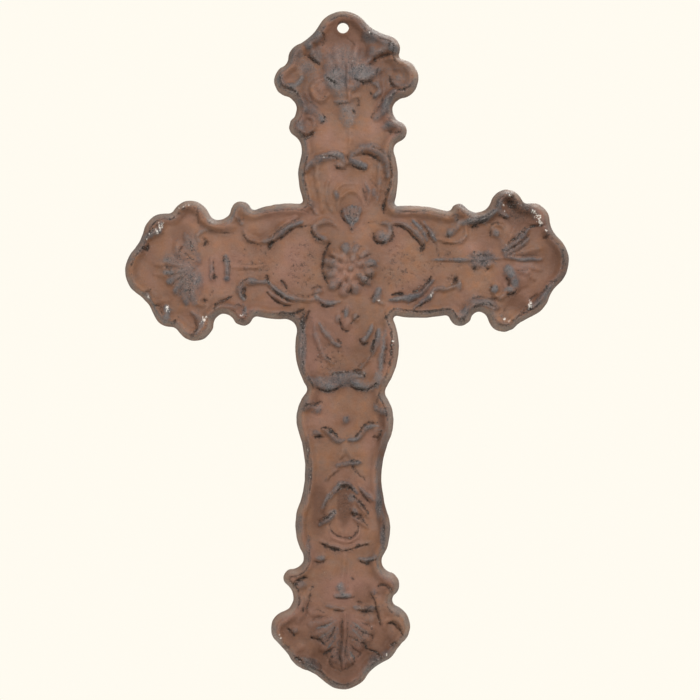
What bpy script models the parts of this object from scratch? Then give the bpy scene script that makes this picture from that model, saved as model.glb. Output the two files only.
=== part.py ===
"""Cast iron wall cross with scrolled arms, one open-sand casting hung on a nail.

The cross stands upright with its back on the wall plane y = 0 and its carved
face towards -Y.  The origin is the centre of the nail hole on the wall plane.
Drawing sizes are millimetres; MM turns them into Blender's metres.
"""

import math
from collections import namedtuple

import bpy
import numpy as np
from mathutils import Vector, kdtree
from mathutils.geometry import delaunay_2d_cdt

MM = 0.001

# Length of each arm, from the crossing to its tip
TOP_ARM = 136.3
LEFT_ARM = 121.0
RIGHT_ARM = 120.3
FOOT_ARM = 232.0

# Way each arm points, in degrees from +X: the old pattern was not quite square
TOP_HEADING = 91.1
LEFT_HEADING = 182.4
RIGHT_HEADING = 0.3
FOOT_HEADING = 269.4

# Section of the casting, measured from the wall
EDGE_THICKNESS = 3.0
RIM_HEIGHT = 8.0
FIELD_HEIGHT = 5.6
RIM_WIDTH = 3.4
RIM_FALL = 4.2
CARVING_HEIGHT = 3.0
# Strokes are cut this much broader than their drawing
FULLNESS = 1.25
# Share of a stroke's length over which it swells from its root or thins to its end
TAPER = 0.45

# Nail hole and the shallow cross-shaped channel of the back
NAIL_HOLE = 6.4
NAIL_HOLE_INSET = 9.4
NAIL_BOSS = 4.5
HOLE_LAND = 2.0
BACK_RIM = 6.5
CHANNEL_WIDTH = 30.0
CHANNEL_SLOPE = 3.0
CHANNEL_DEPTH = 2.4

# Fineness of the faceted casting
CHORD_ERROR = 0.14
FRONT_SPACING = 1.15
FRONT_KEPT = 0.18
HOLE_SIDES = 20
CHANNEL_END_SIDES = 10
SHARP_EDGE = 50.0

IRON_COLOUR = (0.17, 0.10, 0.065, 1.0)
IRON_ROUGHNESS = 0.72
IRON_METALLIC = 0.25

# A lobe is a compass arc: its place along the arm, how far its crest reaches from the
# arm's axis, its radius, and the radius of the hollow between it and the lobe before it.
Lobe = namedtuple("Lobe", "along reach radius waist")
Tip = namedtuple("Tip", "along radius waist")
Arm = namedtuple("Arm", "heading length tip right left")
Stroke = namedtuple("Stroke", "path width height root end")
Dome = namedtuple("Dome", "centre heading along across height sharpness")

TOP = Arm(
    TOP_HEADING, TOP_ARM, Tip(120.8, 15.5, 24),
    right=[Lobe(46, 28.6, 48, 1.5), Lobe(70.5, 33.9, 6, 5), Lobe(99, 40.8, 11, 2.5), Lobe(115, 31.1, 8, 2)],
    left=[Lobe(47, 26.2, 36, 1.5), Lobe(74, 30.5, 6, 10), Lobe(99, 38.2, 9, 7), Lobe(110, 30.5, 9.5, 5)])
LEFT = Arm(
    LEFT_HEADING, LEFT_ARM, Tip(105, 16, 24),
    right=[Lobe(32, 33.6, 50, 1.5), Lobe(56.5, 35.6, 6, 2.5), Lobe(84, 37.2, 11, 2.5), Lobe(98, 31, 12.5, 3)],
    left=[Lobe(37, 29.7, 45, 6), Lobe(58, 32.3, 6, 2.5), Lobe(84, 39.6, 10.5, 2.5), Lobe(96.5, 31.5, 10.5, 5)])
RIGHT = Arm(
    RIGHT_HEADING, RIGHT_ARM, Tip(103.3, 17, 14),
    right=[Lobe(39, 30.8, 70, 1.5), Lobe(61, 35.2, 6.5, 2), Lobe(84.5, 38.5, 9, 2.5), Lobe(95, 31, 15, 30)],
    left=[Lobe(33, 30.9, 70, 1.5), Lobe(60.5, 31.8, 4.5, 3), Lobe(86.5, 39.3, 9, 8), Lobe(100, 32, 10, 3)])
FOOT = Arm(
    FOOT_HEADING, FOOT_ARM, Tip(217, 15, 24),
    right=[Lobe(46, 28.3, 40, 6), Lobe(85, 27.2, 22, 3), Lobe(142.5, 27.1, 31, 60),
           Lobe(171.5, 33.2, 5, 6), Lobe(199, 39.8, 10, 8), Lobe(208, 31, 14, 45)],
    left=[Lobe(46, 28.7, 38, 1.5), Lobe(86, 26.3, 24, 5), Lobe(145, 25.1, 28, 55),
          Lobe(174.5, 30.3, 7, 6), Lobe(197, 36.4, 12, 3.5), Lobe(203, 31, 15, 15)])
# Counter-clockwise round the cross, as the outline runs
ARMS = (RIGHT, TOP, LEFT, FOOT)
# The crossing's own motifs are drawn with along pointing up and across to the right
CROSSING = Arm(90.0, TOP_ARM, Tip(TOP_ARM, 0, 0), right=[], left=[])


def place(arm, along, across):
    """Points of an arm's drawing, in millimetres from the crossing; across is to its right hand."""
    turn = math.radians(arm.heading)
    along = np.asarray(along, float) * arm.length / (arm.tip.along + arm.tip.radius)
    across = np.asarray(across, float)
    return np.stack([along * math.cos(turn) + across * math.sin(turn),
                     along * math.sin(turn) - across * math.cos(turn)], -1)


def nail_hole_along():
    """Place of the nail hole along the top arm, as the arm is drawn."""
    return TOP.tip.along + TOP.tip.radius - NAIL_HOLE_INSET


def outline_circles():
    """The lobes round the cross as centre, radius and hollow before it."""
    circles = []
    for number, arm in enumerate(ARMS):
        corner = max(arm.right[0].waist, ARMS[number - 1].left[0].waist)
        stations = [(lobe.along, lobe.reach - lobe.radius, lobe.radius, lobe.waist) for lobe in arm.right]
        stations[0] = stations[0][:3] + (corner,)
        stations.append((arm.tip.along, 0.0, arm.tip.radius, arm.tip.waist))
        waists = [arm.tip.waist] + [lobe.waist for lobe in reversed(arm.left[1:])]
        for lobe, waist in zip(reversed(arm.left), waists):
            stations.append((lobe.along, lobe.radius - lobe.reach, lobe.radius, waist))
        circles += [(place(arm, along, across), radius, waist) for along, across, radius, waist in stations]
    return circles


def hollow_between(first, second):
    """The centre and radius of the hollow arc that touches two lobes from outside."""
    start, start_radius, _ = first
    end, end_radius, radius = second
    apart = end - start
    distance = math.hypot(*apart)
    radius = max(radius, (distance - start_radius - end_radius) * 0.55)
    from_start = start_radius + radius
    from_end = end_radius + radius
    reach = (distance ** 2 + from_start ** 2 - from_end ** 2) / (2 * distance)
    rise = math.sqrt(max(from_start ** 2 - reach ** 2, 0.0))
    unit = apart / distance
    outward = np.array([unit[1], -unit[0]])
    return start + unit * reach + outward * rise, radius


def arc(centre, radius, start, end, turn, chord_error):
    """Points of an arc from start up to, but not at, end; turn is 1 counter-clockwise, -1 clockwise."""
    first = math.atan2(start[1] - centre[1], start[0] - centre[0])
    last = math.atan2(end[1] - centre[1], end[0] - centre[0])
    sweep = ((last - first) * turn) % math.tau
    step = 2 * math.acos(1 - min(chord_error / radius, 0.3))
    count = max(1, math.ceil(sweep / step))
    angles = first + turn * sweep * np.arange(count) / count
    return centre + radius * np.stack([np.cos(angles), np.sin(angles)], -1)


def outline(chord_error):
    """The closed outline as points in millimetres from the crossing, counter-clockwise."""
    circles = outline_circles()
    hollows = [hollow_between(circles[number - 1], circle) for number, circle in enumerate(circles)]
    points = []
    for number, (centre, radius, _) in enumerate(circles):
        before, before_radius = hollows[number]
        after, after_radius = hollows[(number + 1) % len(circles)]
        following, following_radius, _ = circles[(number + 1) % len(circles)]
        enter = centre + (before - centre) * radius / (radius + before_radius)
        leave = centre + (after - centre) * radius / (radius + after_radius)
        onward = following + (after - following) * following_radius / (following_radius + after_radius)
        points.append(arc(centre, radius, enter, leave, 1, chord_error))
        points.append(arc(after, after_radius, leave, onward, -1, chord_error))
    return np.concatenate(points)


def curve_through(points, steps=5):
    """A smooth curve through points, by Catmull and Rom's rule."""
    points = np.asarray(points, float)
    padded = np.concatenate([2 * points[:1] - points[1:2], points, 2 * points[-1:] - points[-2:-1]])
    share = np.arange(steps)[:, None] / steps
    spans = []
    for a, b, c, d in zip(padded, padded[1:], padded[2:], padded[3:]):
        bend = 2 * a - 5 * b + 4 * c - d
        twist = 3 * (b - c) + d - a
        spans.append(b + 0.5 * share * ((c - a) + share * (bend + share * twist)))
    return np.concatenate(spans + [points[-1:]])


def spiral(centre, radius, start, sweep, steps=18):
    """Points winding in round centre; 0 degrees is along the arm and 90 its right hand."""
    share = np.linspace(0.0, 1.0, steps)
    angle = np.radians(start + sweep * share)
    distance = radius * (1 - 0.62 * share)
    return np.stack([centre[0] + distance * np.cos(angle), centre[1] + distance * np.sin(angle)], -1)


def ridge(arm, points, width, height=1.0, root=0.4, end=0.4, side=1):
    """A raised stroke; root and end say how full its width is there."""
    points = np.asarray(points, float)
    path = place(arm, points[:, 0], points[:, 1] * side)
    return Stroke(path, FULLNESS * width, height * CARVING_HEIGHT, root, end)


def sweep_of(arm, points, width, height=1.0, root=0.4, end=0.4, side=1):
    """A raised stroke along the smooth curve through a few points."""
    return ridge(arm, curve_through(points), width, height, root, end, side)


def volute(arm, tail, centre, radius, start, sweep, width, height=1.0, side=1):
    """A stroke that runs along its tail and winds into a curl with a fat eye."""
    points = spiral(centre, radius, start, sweep)
    if tail:
        points = np.concatenate([curve_through(list(tail) + [tuple(points[0])]), points[1:]])
    return ridge(arm, points, width, height, 0.3, 1.0, side)


def dome(arm, along, across, half_along, half_across, height=1.0):
    """A raised oval with steep sides."""
    return Dome(place(arm, along, across), arm.heading, half_along, half_across, height * CARVING_HEIGHT, 0.6)


def swell(arm, along, across, half_along, half_across, height):
    """A soft swelling of the ground, or a dish where height is below 0."""
    return Dome(place(arm, along, across), arm.heading, half_along, half_across, height * CARVING_HEIGHT, 1.5)


def petals(arm, centre, inner, outer, count, width, height, first=0.0):
    """Drop-shaped petals in a ring, fat end outwards."""
    strokes = []
    for number in range(count):
        angle = math.radians(first + 360.0 * number / count)
        points = [(centre[0] + distance * math.cos(angle), centre[1] + distance * math.sin(angle))
                  for distance in (inner, (inner + outer) / 2, outer)]
        strokes.append(ridge(arm, points, width, height, 0.35, 1.0))
    return strokes


def palmette(arm, root, reach, spread, lobes, width, lean=0.0):
    """A fan of leaf lobes round a midrib, shorter and more bent towards its sides."""
    strokes = []
    for number in range(lobes):
        share = 2 * number / (lobes - 1) - 1
        angle = math.radians(spread * share)
        length = reach * (1 - 0.42 * abs(share) ** 1.4)
        bend = 0.14 * length * share
        points = []
        for part in (0.12, 0.4, 0.7, 0.93):
            sideways = bend * part * (part - 1) * -4
            points.append((root + length * part * math.cos(angle) - sideways * math.sin(angle) * 0.5,
                           lean * part + length * part * math.sin(angle) - sideways * math.cos(angle)))
        strokes.append(sweep_of(arm, points, width, 0.65, 0.25, 0.95))
    strokes.append(sweep_of(arm, [(root - 3, 0), (root + reach * 0.4, lean * 0.4), (root + reach, lean)],
                            width * 0.6, 1.0, 0.6, 0.3))
    return strokes


def terminal(arm, root, reach, spread, lobes):
    """The carving of an arm's end: palmette, ear and shoulder scrolls, and the bump's curls."""
    strokes = palmette(arm, root, reach, spread, lobes, 2.2)
    for side, edge in ((1, arm.right), (-1, arm.left)):
        bump, ear, shoulder = edge[-3:]
        neck = [(bump.along + 4, bump.reach - 14), (bump.along + 12, bump.reach - 13.5),
                (ear.along - 9, ear.reach - 13.5)]
        strokes.append(volute(arm, neck, (ear.along + 0.5, ear.reach - 10), 5.4, 180, -430, 1.9, 0.9, side))
        strokes.append(volute(arm, [(bump.along - 8, bump.reach - 8)], (bump.along, bump.reach - 6.5),
                              3.6, 180, -330, 1.5, 0.8, side))
        strokes.append(volute(arm, [(ear.along + 8, ear.reach - 15), (arm.tip.along - 2, 20)],
                              (arm.tip.along + 1, 14.5), 3.0, 60, -300, 1.7, 0.95, side))
        strokes.append(volute(arm, [(root - 1, 4), (root - 1.5, 10)], (root + 4.5, 15), 4.2, 200, -350,
                              1.6, 0.8, side))
    return strokes


def grounds():
    """Soft swellings under the palmettes, and dishes in the tips, ears and panels."""
    marks = [swell(CROSSING, -3, 1.5, 15, 15, 0.35), swell(TOP, 48, 0, 9, 12, -0.3),
             swell(FOOT, 52, 0, 9, 10, -0.3), swell(FOOT, 136, 0, 13, 6.5, -0.35)]
    for arm, root, reach in ((TOP, 89, 26), (LEFT, 80, 19), (RIGHT, 80, 25), (FOOT, 190, 30)):
        marks.append(swell(arm, root + reach * 0.45, 0, 16, 17, 0.45))
        marks.append(swell(arm, arm.tip.along + 3, 0, 10, 11, -0.4))
        for side, edge in ((1, arm.right), (-1, arm.left)):
            ear = edge[-2]
            marks.append(swell(arm, ear.along, side * (ear.reach - 10), 9, 8, -0.4))
    return marks


def side_shaft(arm):
    """Acanthus sprays either side of a stem, between the crossing and a side terminal."""
    strokes = [sweep_of(arm, [(42, 0), (60, 0), (76, -0.5)], 1.3, 0.7)]
    for side in (1, -1):
        strokes += [
            volute(arm, [(40, 9), (36, 13.5), (29, 17.5), (22, 19)], (16, 15.5), 4.2, 60, 330, 1.7, 1.0, side),
            sweep_of(arm, [(41, 10.5), (37.5, 15), (32, 19.5), (27, 23)], 2.0, 0.85, 0.8, 0.3, side),
            sweep_of(arm, [(46.5, 12.5), (42, 16.5), (36, 21)], 1.7, 0.75, 0.8, 0.3, side),
            sweep_of(arm, [(50, 16), (46, 19.5), (41, 24)], 1.4, 0.6, 0.7, 0.3, side),
            volute(arm, [(46, 14), (51, 13.5)], (57, 14.5), 4.2, 200, 320, 1.6, 0.85, side)]
    return strokes


def top_shaft():
    """Two scrolls arching over a budding frond."""
    strokes = petals(TOP, (26, 2.5), 2.0, 4.2, 5, 1.9, 0.95, 180.0)
    strokes.append(sweep_of(TOP, [(24, 2.5), (20, 2.5), (16.5, 2.8)], 1.3, 0.7, 0.8, 0.2))
    for side in (1, -1):
        strokes += [
            volute(TOP, [(33, 17), (43, 19.5), (52, 18.5), (58, 13.5), (59.5, 8)], (54.5, 5), 3.6, 20, -330,
                   2.0, 1.0, side),
            sweep_of(TOP, [(55.5, 9.5), (53.5, 14), (47, 15.5), (40, 14.5)], 1.5, 0.7, 0.8, 0.3, side),
            sweep_of(TOP, [(44, 4), (41.5, 8.5), (36, 12), (29, 12.5)], 1.4, 0.6, 0.3, 0.6, side),
            sweep_of(TOP, [(38.5, 1.5), (37, 6), (33, 8.8), (27.5, 9.5)], 1.2, 0.55, 0.3, 0.6, side),
            sweep_of(TOP, [(39.5, 13.5), (35, 16)], 1.8, 0.75, 0.5, 1.0, side)]
    return strokes


def foot_shaft():
    """Three stacked panels: a volute arch, a tulip and a cabochon set in sprays."""
    strokes = petals(FOOT, (30.5, 0), 1.6, 4.6, 3, 2.1, 0.9)
    strokes += [
        sweep_of(FOOT, [(61.5, -9), (60.5, 0), (62.5, 9)], 1.6, 0.8),
        sweep_of(FOOT, [(96, 0), (102, 0), (108, 0)], 1.3, 0.5),
        sweep_of(FOOT, [(110, -6), (107.8, 0), (110.5, 5.5)], 1.4, 0.8, 0.5, 0.5),
        sweep_of(FOOT, [(123, -5.5), (120.5, 0), (123, 5.5)], 1.5, 0.85, 0.5, 0.5),
        sweep_of(FOOT, [(158, 0), (168, 0), (175, 0)], 1.2, 0.45, 0.3, 0.3),
        sweep_of(FOOT, [(174, 0), (180.5, 0)], 3.0, 0.7, 0.9, 0.2)]
    for side in (1, -1):
        strokes += [
            volute(FOOT, [(36, 20), (44, 20), (54, 18.5), (62, 16.5)], (65.5, 10.5), 4.4, 60, -330, 1.8, 1.0, side),
            sweep_of(FOOT, [(56.5, 8.5), (51, 13), (45, 15.5), (37, 16.5)], 1.7, 0.8, 0.4, 0.5, side),
            volute(FOOT, [(33, 13.5), (37.5, 12)], (41.5, 7.5), 2.8, 80, -260, 1.5, 0.75, side),
            sweep_of(FOOT, [(79, 20), (77.5, 15)], 2.2, 0.7, 0.8, 0.6, side),
            volute(FOOT, [(97, 1), (95, 6.5), (90, 10)], (91.8, 15.5), 3.2, 230, -230, 1.6, 0.9, side),
            sweep_of(FOOT, [(98, 1), (104, 2.8), (109, 6)], 1.2, 0.55, 0.5, 0.6, side),
            sweep_of(FOOT, [(110.5, 3), (114, 6.5), (118.5, 11)], 1.4, 0.65, 0.6, 0.3, side),
            sweep_of(FOOT, [(122.5, 7), (127.5, 11.5), (132, 15)], 1.6, 0.75, 0.5, 0.4, side),
            sweep_of(FOOT, [(127.5, 6.5), (132, 9.5), (137, 13)], 1.6, 0.8, 0.7, 0.3, side),
            sweep_of(FOOT, [(136.5, 6.5), (138, 9.5), (142, 13)], 1.6, 0.8, 0.8, 0.3, side),
            sweep_of(FOOT, [(142, 8), (147, 6), (149.5, 1)], 1.2, 0.6, 0.6, 0.6, side),
            sweep_of(FOOT, [(155.5, 1), (154.5, 6), (152.5, 12)], 1.3, 0.8, 0.8, 0.3, side),
            volute(FOOT, [(158.5, 7.5)], (160.3, 12.5), 3.2, 240, 250, 1.4, 0.75, side)]
    return strokes


def carving():
    """Every raised stroke and dome of the face."""
    strokes = petals(CROSSING, (-3, 1.5), 8.6, 12.6, 12, 2.2, 0.75, 12.0)
    strokes += petals(CROSSING, (-3, 1.5), 3.6, 7.2, 7, 1.9, 0.65, 20.0)
    strokes += top_shaft() + side_shaft(LEFT) + side_shaft(RIGHT) + foot_shaft()
    strokes += terminal(TOP, 89, 26, 72, 9) + terminal(LEFT, 80, 19, 80, 9)
    strokes += terminal(RIGHT, 80, 25, 62, 9) + terminal(FOOT, 190, 30, 62, 11)
    for arm, along in ((LEFT, 65), (LEFT, 72.5), (RIGHT, 69), (RIGHT, 76), (TOP, 86.5), (FOOT, 187)):
        strokes.append(sweep_of(arm, [(along - 1, -6), (along, 0), (along - 1, 6)], 1.6, 0.8, 0.7, 0.7))
    domes = [dome(FOOT, 137, 0, 12.5, 5.5, 0.6), dome(CROSSING, -3, 1.5, 2.8, 2.8, 0.9),
             dome(FOOT, 84.5, 0, 3.0, 2.6, 0.55), dome(TOP, 26, 3, 5.5, 5.2, 0.55)]
    return strokes, domes


def distance_to(points, loop):
    """How far each point lies from a closed loop, and where inside the loop it is True."""
    onward = np.roll(loop, -1, 0)
    steps = 8
    samples = np.concatenate([loop + (onward - loop) * part / steps for part in range(steps)])
    tree = kdtree.KDTree(len(samples))
    for number, (x, z) in enumerate(samples):
        tree.insert((x, z, 0.0), number)
    tree.balance()
    distance = np.array([tree.find((x, z, 0.0))[2] for x, z in points])
    inside = np.zeros(len(points), bool)
    for (x, z), (next_x, next_z) in zip(loop, onward):
        spans = (z > points[:, 1]) != (next_z > points[:, 1])
        if next_z != z:
            crossing = x + (points[:, 1] - z) * (next_x - x) / (next_z - z)
            inside ^= spans & (points[:, 0] < crossing)
    return distance, inside


def stroke_height(points, stroke):
    """Height that one stroke adds at each point: a rounded ridge that thins towards its ends."""
    height = np.zeros(len(points))
    lengths = np.hypot(*np.diff(stroke.path, axis=0).T)
    travelled = np.concatenate([[0.0], np.cumsum(lengths)]) / lengths.sum()
    widths = stroke.width * np.minimum(
        stroke.root + (1 - stroke.root) * np.sin(np.minimum(travelled / TAPER, 1) * math.pi / 2),
        stroke.end + (1 - stroke.end) * np.sin(np.minimum((1 - travelled) / TAPER, 1) * math.pi / 2))
    low = stroke.path.min(0) - stroke.width
    high = stroke.path.max(0) + stroke.width
    near = np.nonzero(((points > low) & (points < high)).all(1))[0]
    spot = points[near]
    best = np.zeros(len(near))
    for start, end, start_width, end_width in zip(stroke.path, stroke.path[1:], widths, widths[1:]):
        run = end - start
        share = np.clip(((spot - start) @ run) / max(run @ run, 1e-9), 0, 1)
        away = np.hypot(*(spot - start - share[:, None] * run).T)
        width = start_width + share * (end_width - start_width)
        fullness = np.minimum(1.0, 0.45 + 0.55 * width / stroke.width)
        best = np.maximum(best, fullness * np.clip(1 - (away / width) ** 2, 0, 1))
    height[near] = stroke.height * best
    return height


def dome_height(points, bump):
    """Height that one oval adds at each point."""
    turn = math.radians(bump.heading)
    offset = points - bump.centre
    along = offset @ (math.cos(turn), math.sin(turn))
    across = offset @ (math.sin(turn), -math.cos(turn))
    square = (along / bump.along) ** 2 + (across / bump.across) ** 2
    return bump.height * np.clip(1 - square, 0, 1) ** bump.sharpness


def face_height(points, distance):
    """Height of the carved face over the wall, in millimetres."""
    rise = np.sin(np.clip(distance / RIM_WIDTH, 0, 1) * math.pi / 2)
    fall = 0.5 - 0.5 * np.cos(np.clip((distance - RIM_WIDTH) / RIM_FALL, 0, 1) * math.pi)
    base = EDGE_THICKNESS + (RIM_HEIGHT - EDGE_THICKNESS) * rise - (RIM_HEIGHT - FIELD_HEIGHT) * fall
    raised = np.zeros(len(points))
    strokes, domes = carving()
    for stroke in strokes:
        raised = np.maximum(raised, stroke_height(points, stroke))
    for bump in domes:
        raised = np.maximum(raised, dome_height(points, bump))
    for ground in grounds():
        raised += dome_height(points, ground)
    clear_of_hole = np.hypot(*(points - nail_hole()).T) - NAIL_HOLE / 2
    raised *= np.clip(distance / RIM_WIDTH, 0, 1) * np.clip(clear_of_hole / HOLE_LAND, 0, 1)
    return base + raised


def nail_hole():
    """Centre of the nail hole, in millimetres from the crossing."""
    return place(TOP, nail_hole_along(), 0.0)


def hole_loop():
    """The nail hole as a closed loop."""
    angles = math.tau * np.arange(HOLE_SIDES) / HOLE_SIDES
    return nail_hole() + NAIL_HOLE / 2 * np.stack([np.cos(angles), np.sin(angles)], -1)


def channel(inset):
    """A closed loop round the channel of the back, drawn in by inset: a plain cross with round ends."""
    half = CHANNEL_WIDTH / 2 - inset
    points = []
    for number, arm in enumerate(ARMS):
        before = ARMS[number - 1]
        points.append((place(before, half, -half) + place(arm, half, half)) / 2)
        end = arm.tip.along + arm.tip.radius - BACK_RIM
        if arm is TOP:
            end = nail_hole_along() - NAIL_HOLE / 2 - NAIL_BOSS
        angles = np.linspace(math.pi / 2, -math.pi / 2, CHANNEL_END_SIDES + 1)
        centre = end - CHANNEL_WIDTH / 2
        points += list(place(arm, centre + half * np.cos(angles), half * np.sin(angles)))
    return np.array(points)


def grid_inside(loop, spacing):
    """Staggered grid points inside the outline and clear of it and of the nail hole."""
    low, high = loop.min(0), loop.max(0)
    rows = np.arange(low[1], high[1], spacing * math.sqrt(0.75))
    columns = np.arange(low[0], high[0], spacing)
    grid = [(column + (number % 2) * spacing / 2, row) for number, row in enumerate(rows) for column in columns]
    points = np.array(grid)
    distance, inside = distance_to(points, loop)
    clear_of_hole = np.hypot(*(points - nail_hole()).T) - NAIL_HOLE / 2
    keep = inside & (distance > spacing * 0.6) & (clear_of_hole > spacing * 0.6)
    return points[keep], distance[keep]


def triangulate(loops, free):
    """Delaunay triangles over loops and free points, without the nail hole's inside."""
    points = np.concatenate(list(loops) + ([free] if len(free) else []))
    edges = []
    start = 0
    for loop in loops:
        count = len(loop)
        edges += [(start + number, start + (number + 1) % count) for number in range(count)]
        start += count
    result = delaunay_2d_cdt([Vector(point) for point in points], edges, [], 1, 1e-7)
    source = [origins[0] for origins in result[3]]
    triangles = np.array([[source[corner] for corner in face] for face in result[2]])
    middle = points[triangles].mean(1)
    in_hole = np.hypot(*(middle - nail_hole()).T) < NAIL_HOLE / 2 * 0.98
    return points, triangles[~in_hole]


def cast_cross():
    """The whole casting: carved face, edge, nail hole and hollowed back, in one closed mesh."""
    edge = outline(CHORD_ERROR)
    hole = hole_loop()
    face_grid, grid_distance = grid_inside(edge, FRONT_SPACING)
    face, face_triangles = triangulate([edge, hole], face_grid)
    hole_distance, _ = distance_to(hole, edge)
    height = face_height(face, np.concatenate([np.zeros(len(edge)), hole_distance, grid_distance]))

    brink = channel(0.0)
    floor = channel(CHANNEL_SLOPE)
    back, back_triangles = triangulate([edge, hole, brink, floor], [])
    hollow = np.zeros(len(back))
    hollow[-len(floor):] = CHANNEL_DEPTH

    corner = nail_hole()
    front_vertices = np.stack([face[:, 0] - corner[0], -height, face[:, 1] - corner[1]], -1)
    back_vertices = np.stack([back[:, 0] - corner[0], -hollow, back[:, 1] - corner[1]], -1)
    vertices = np.concatenate([front_vertices, back_vertices]) * MM
    behind = len(face)
    faces = [tuple(triangle) for triangle in face_triangles]
    faces += [tuple(triangle[::-1]) for triangle in back_triangles + behind]
    for first, count, turn in ((0, len(edge), 1), (len(edge), len(hole), -1)):
        for number in range(count):
            here = first + number
            onward = first + (number + 1) % count
            faces.append((here, behind + here, behind + onward, onward)[::turn])
    mesh = bpy.data.meshes.new("cast_cross")
    mesh.from_pydata(vertices.tolist(), [], faces)
    mesh.shade_smooth()
    mesh.set_sharp_from_angle(angle=math.radians(SHARP_EDGE))
    cross = bpy.data.objects.new("cast_cross", mesh)
    bpy.context.collection.objects.link(cross)
    fixed = len(edge) + len(hole)
    group = cross.vertex_groups.new(name="carved_face")
    group.add(list(range(fixed, behind)), 1.0, "REPLACE")
    thin = cross.modifiers.new("coarser_facets", "DECIMATE")
    thin.ratio = FRONT_KEPT
    thin.vertex_group = group.name
    return cross


def cast_iron():
    """Brown painted iron."""
    material = bpy.data.materials.new("cast_iron")
    material.use_nodes = True
    shader = material.node_tree.nodes["Principled BSDF"]
    shader.inputs["Base Color"].default_value = IRON_COLOUR
    shader.inputs["Roughness"].default_value = IRON_ROUGHNESS
    shader.inputs["Metallic"].default_value = IRON_METALLIC
    return material


def main():
    for existing in list(bpy.data.objects):
        bpy.data.objects.remove(existing, do_unlink=True)
    cross = cast_cross()
    cross.data.materials.append(cast_iron())


main()
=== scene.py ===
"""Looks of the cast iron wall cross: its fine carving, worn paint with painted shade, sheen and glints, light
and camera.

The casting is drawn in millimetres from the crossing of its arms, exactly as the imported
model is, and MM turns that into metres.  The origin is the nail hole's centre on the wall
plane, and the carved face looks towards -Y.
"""

import math
from collections import namedtuple

import bmesh
import bpy
import numpy as np
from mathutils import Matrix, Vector
from mathutils.geometry import delaunay_2d_cdt


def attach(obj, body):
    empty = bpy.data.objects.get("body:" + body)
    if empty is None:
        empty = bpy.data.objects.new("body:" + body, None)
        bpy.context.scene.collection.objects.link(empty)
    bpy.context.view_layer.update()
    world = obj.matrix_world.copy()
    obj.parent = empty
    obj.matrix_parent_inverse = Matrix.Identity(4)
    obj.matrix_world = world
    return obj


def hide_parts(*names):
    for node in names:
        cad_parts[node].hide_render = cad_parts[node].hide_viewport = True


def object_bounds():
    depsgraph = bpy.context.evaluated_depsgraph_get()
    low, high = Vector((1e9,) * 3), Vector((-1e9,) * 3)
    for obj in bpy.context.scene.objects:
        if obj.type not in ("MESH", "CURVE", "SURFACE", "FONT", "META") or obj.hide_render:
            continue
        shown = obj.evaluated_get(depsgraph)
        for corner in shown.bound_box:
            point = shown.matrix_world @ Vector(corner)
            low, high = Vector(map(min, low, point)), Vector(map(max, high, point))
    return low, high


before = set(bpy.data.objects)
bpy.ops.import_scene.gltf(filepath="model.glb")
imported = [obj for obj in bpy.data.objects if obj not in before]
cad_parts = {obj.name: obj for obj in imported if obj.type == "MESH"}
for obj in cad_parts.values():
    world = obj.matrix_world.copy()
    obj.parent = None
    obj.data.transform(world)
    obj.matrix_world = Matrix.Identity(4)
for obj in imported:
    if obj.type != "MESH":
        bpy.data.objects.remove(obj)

cad_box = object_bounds()

MM = 0.001

# Length of each arm, from the crossing to its tip
TOP_ARM = 136.3
LEFT_ARM = 121.0
RIGHT_ARM = 120.3
FOOT_ARM = 232.0

# Way each arm points, in degrees from +X: the old pattern was not quite square
TOP_HEADING = 91.1
LEFT_HEADING = 182.4
RIGHT_HEADING = 0.3
FOOT_HEADING = 269.4

# Section of the casting, measured from the wall
EDGE_THICKNESS = 3.0
RIM_HEIGHT = 8.0
FIELD_HEIGHT = 5.6
RIM_WIDTH = 3.4
RIM_FALL = 4.2
RIM_ROUNDNESS = 0.55
CARVING_HEIGHT = 3.0
CREASE_DEPTH = 0.8
HIGHEST = 10.4

# Nail hole and the shallow cross-shaped channel of the back
NAIL_HOLE = 6.4
NAIL_HOLE_INSET = 9.4
NAIL_BOSS = 4.5
BACK_RIM = 6.5
BACK_EDGE_ROUND = 0.6
CHANNEL_WIDTH = 30.0
CHANNEL_SLOPE = 3.0
CHANNEL_DEPTH = 2.4

# Fineness of the drawing grid, of the face's mesh and of the rounds of outline and back
CELL = 0.3
FACE_SPACING = 0.645
FINE_CHORD = 0.02
HOLE_SIDES = 48
CHANNEL_END_SIDES = 24
FOLD_STEPS = 6
CREASE_STEPS = 4
# Edges of the back that turn more than this stay sharp
SHARP_TURN = 28.0

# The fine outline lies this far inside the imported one, whose chords cut its curves
EDGE_INSET = 0.12
# Wear that roughens the outline: its depth, its two wave lengths and their shares, and its seed
EDGE_WEAR = 0.55
EDGE_WAVES = ((7.0, 0.4), (2.4, 0.6))
EDGE_SEED = 17

# Folds are cut this much broader than their drawing
FULLNESS = 1.3
# How much the width of a fold and of a groove varies along its run
LUMPINESS = 0.2
GROOVE_RAGGEDNESS = 0.5
# Share of the points along a fold or groove that get a stray dot of its paint, and a dot's sizes
DOT_SHARE = 0.6
DOT_SIZES = (0.35, 0.8)

# A fold or knob covers the rub of forms lower than it by less than this, and shows its own where it
# lies no deeper than that under them
COVERS = 0.15
SHOWS = 0.3
# A fold narrows over this share of its length at each end, and a thin one is this much lower
FOLD_TAPER = 0.45
THIN_FOLD = 0.4
# How full the section of a fold, a knob and a swell is: the lower the power, the fuller
FOLD_POWER = 1.25
KNOB_POWER = 0.7
SWELL_POWER = 1.5
# A groove is cut this much finer than its drawing, and thins to this share at its ends
GROOVE_FINENESS = 0.8
GROOVE_END = 0.4
# Painted shade and soot in a groove, and fainter painted shade and grime this many widths beside it
GROOVE_SHADE_DEPTH = 0.8
SIDE_SHADE_DEPTH = 0.25
SIDE_SHADE_REACH = 2.6

# The ground is softened by this much, except this near to the edge
SOFTNESS = 0.5
CRISP_EDGE = 1.2
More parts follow.
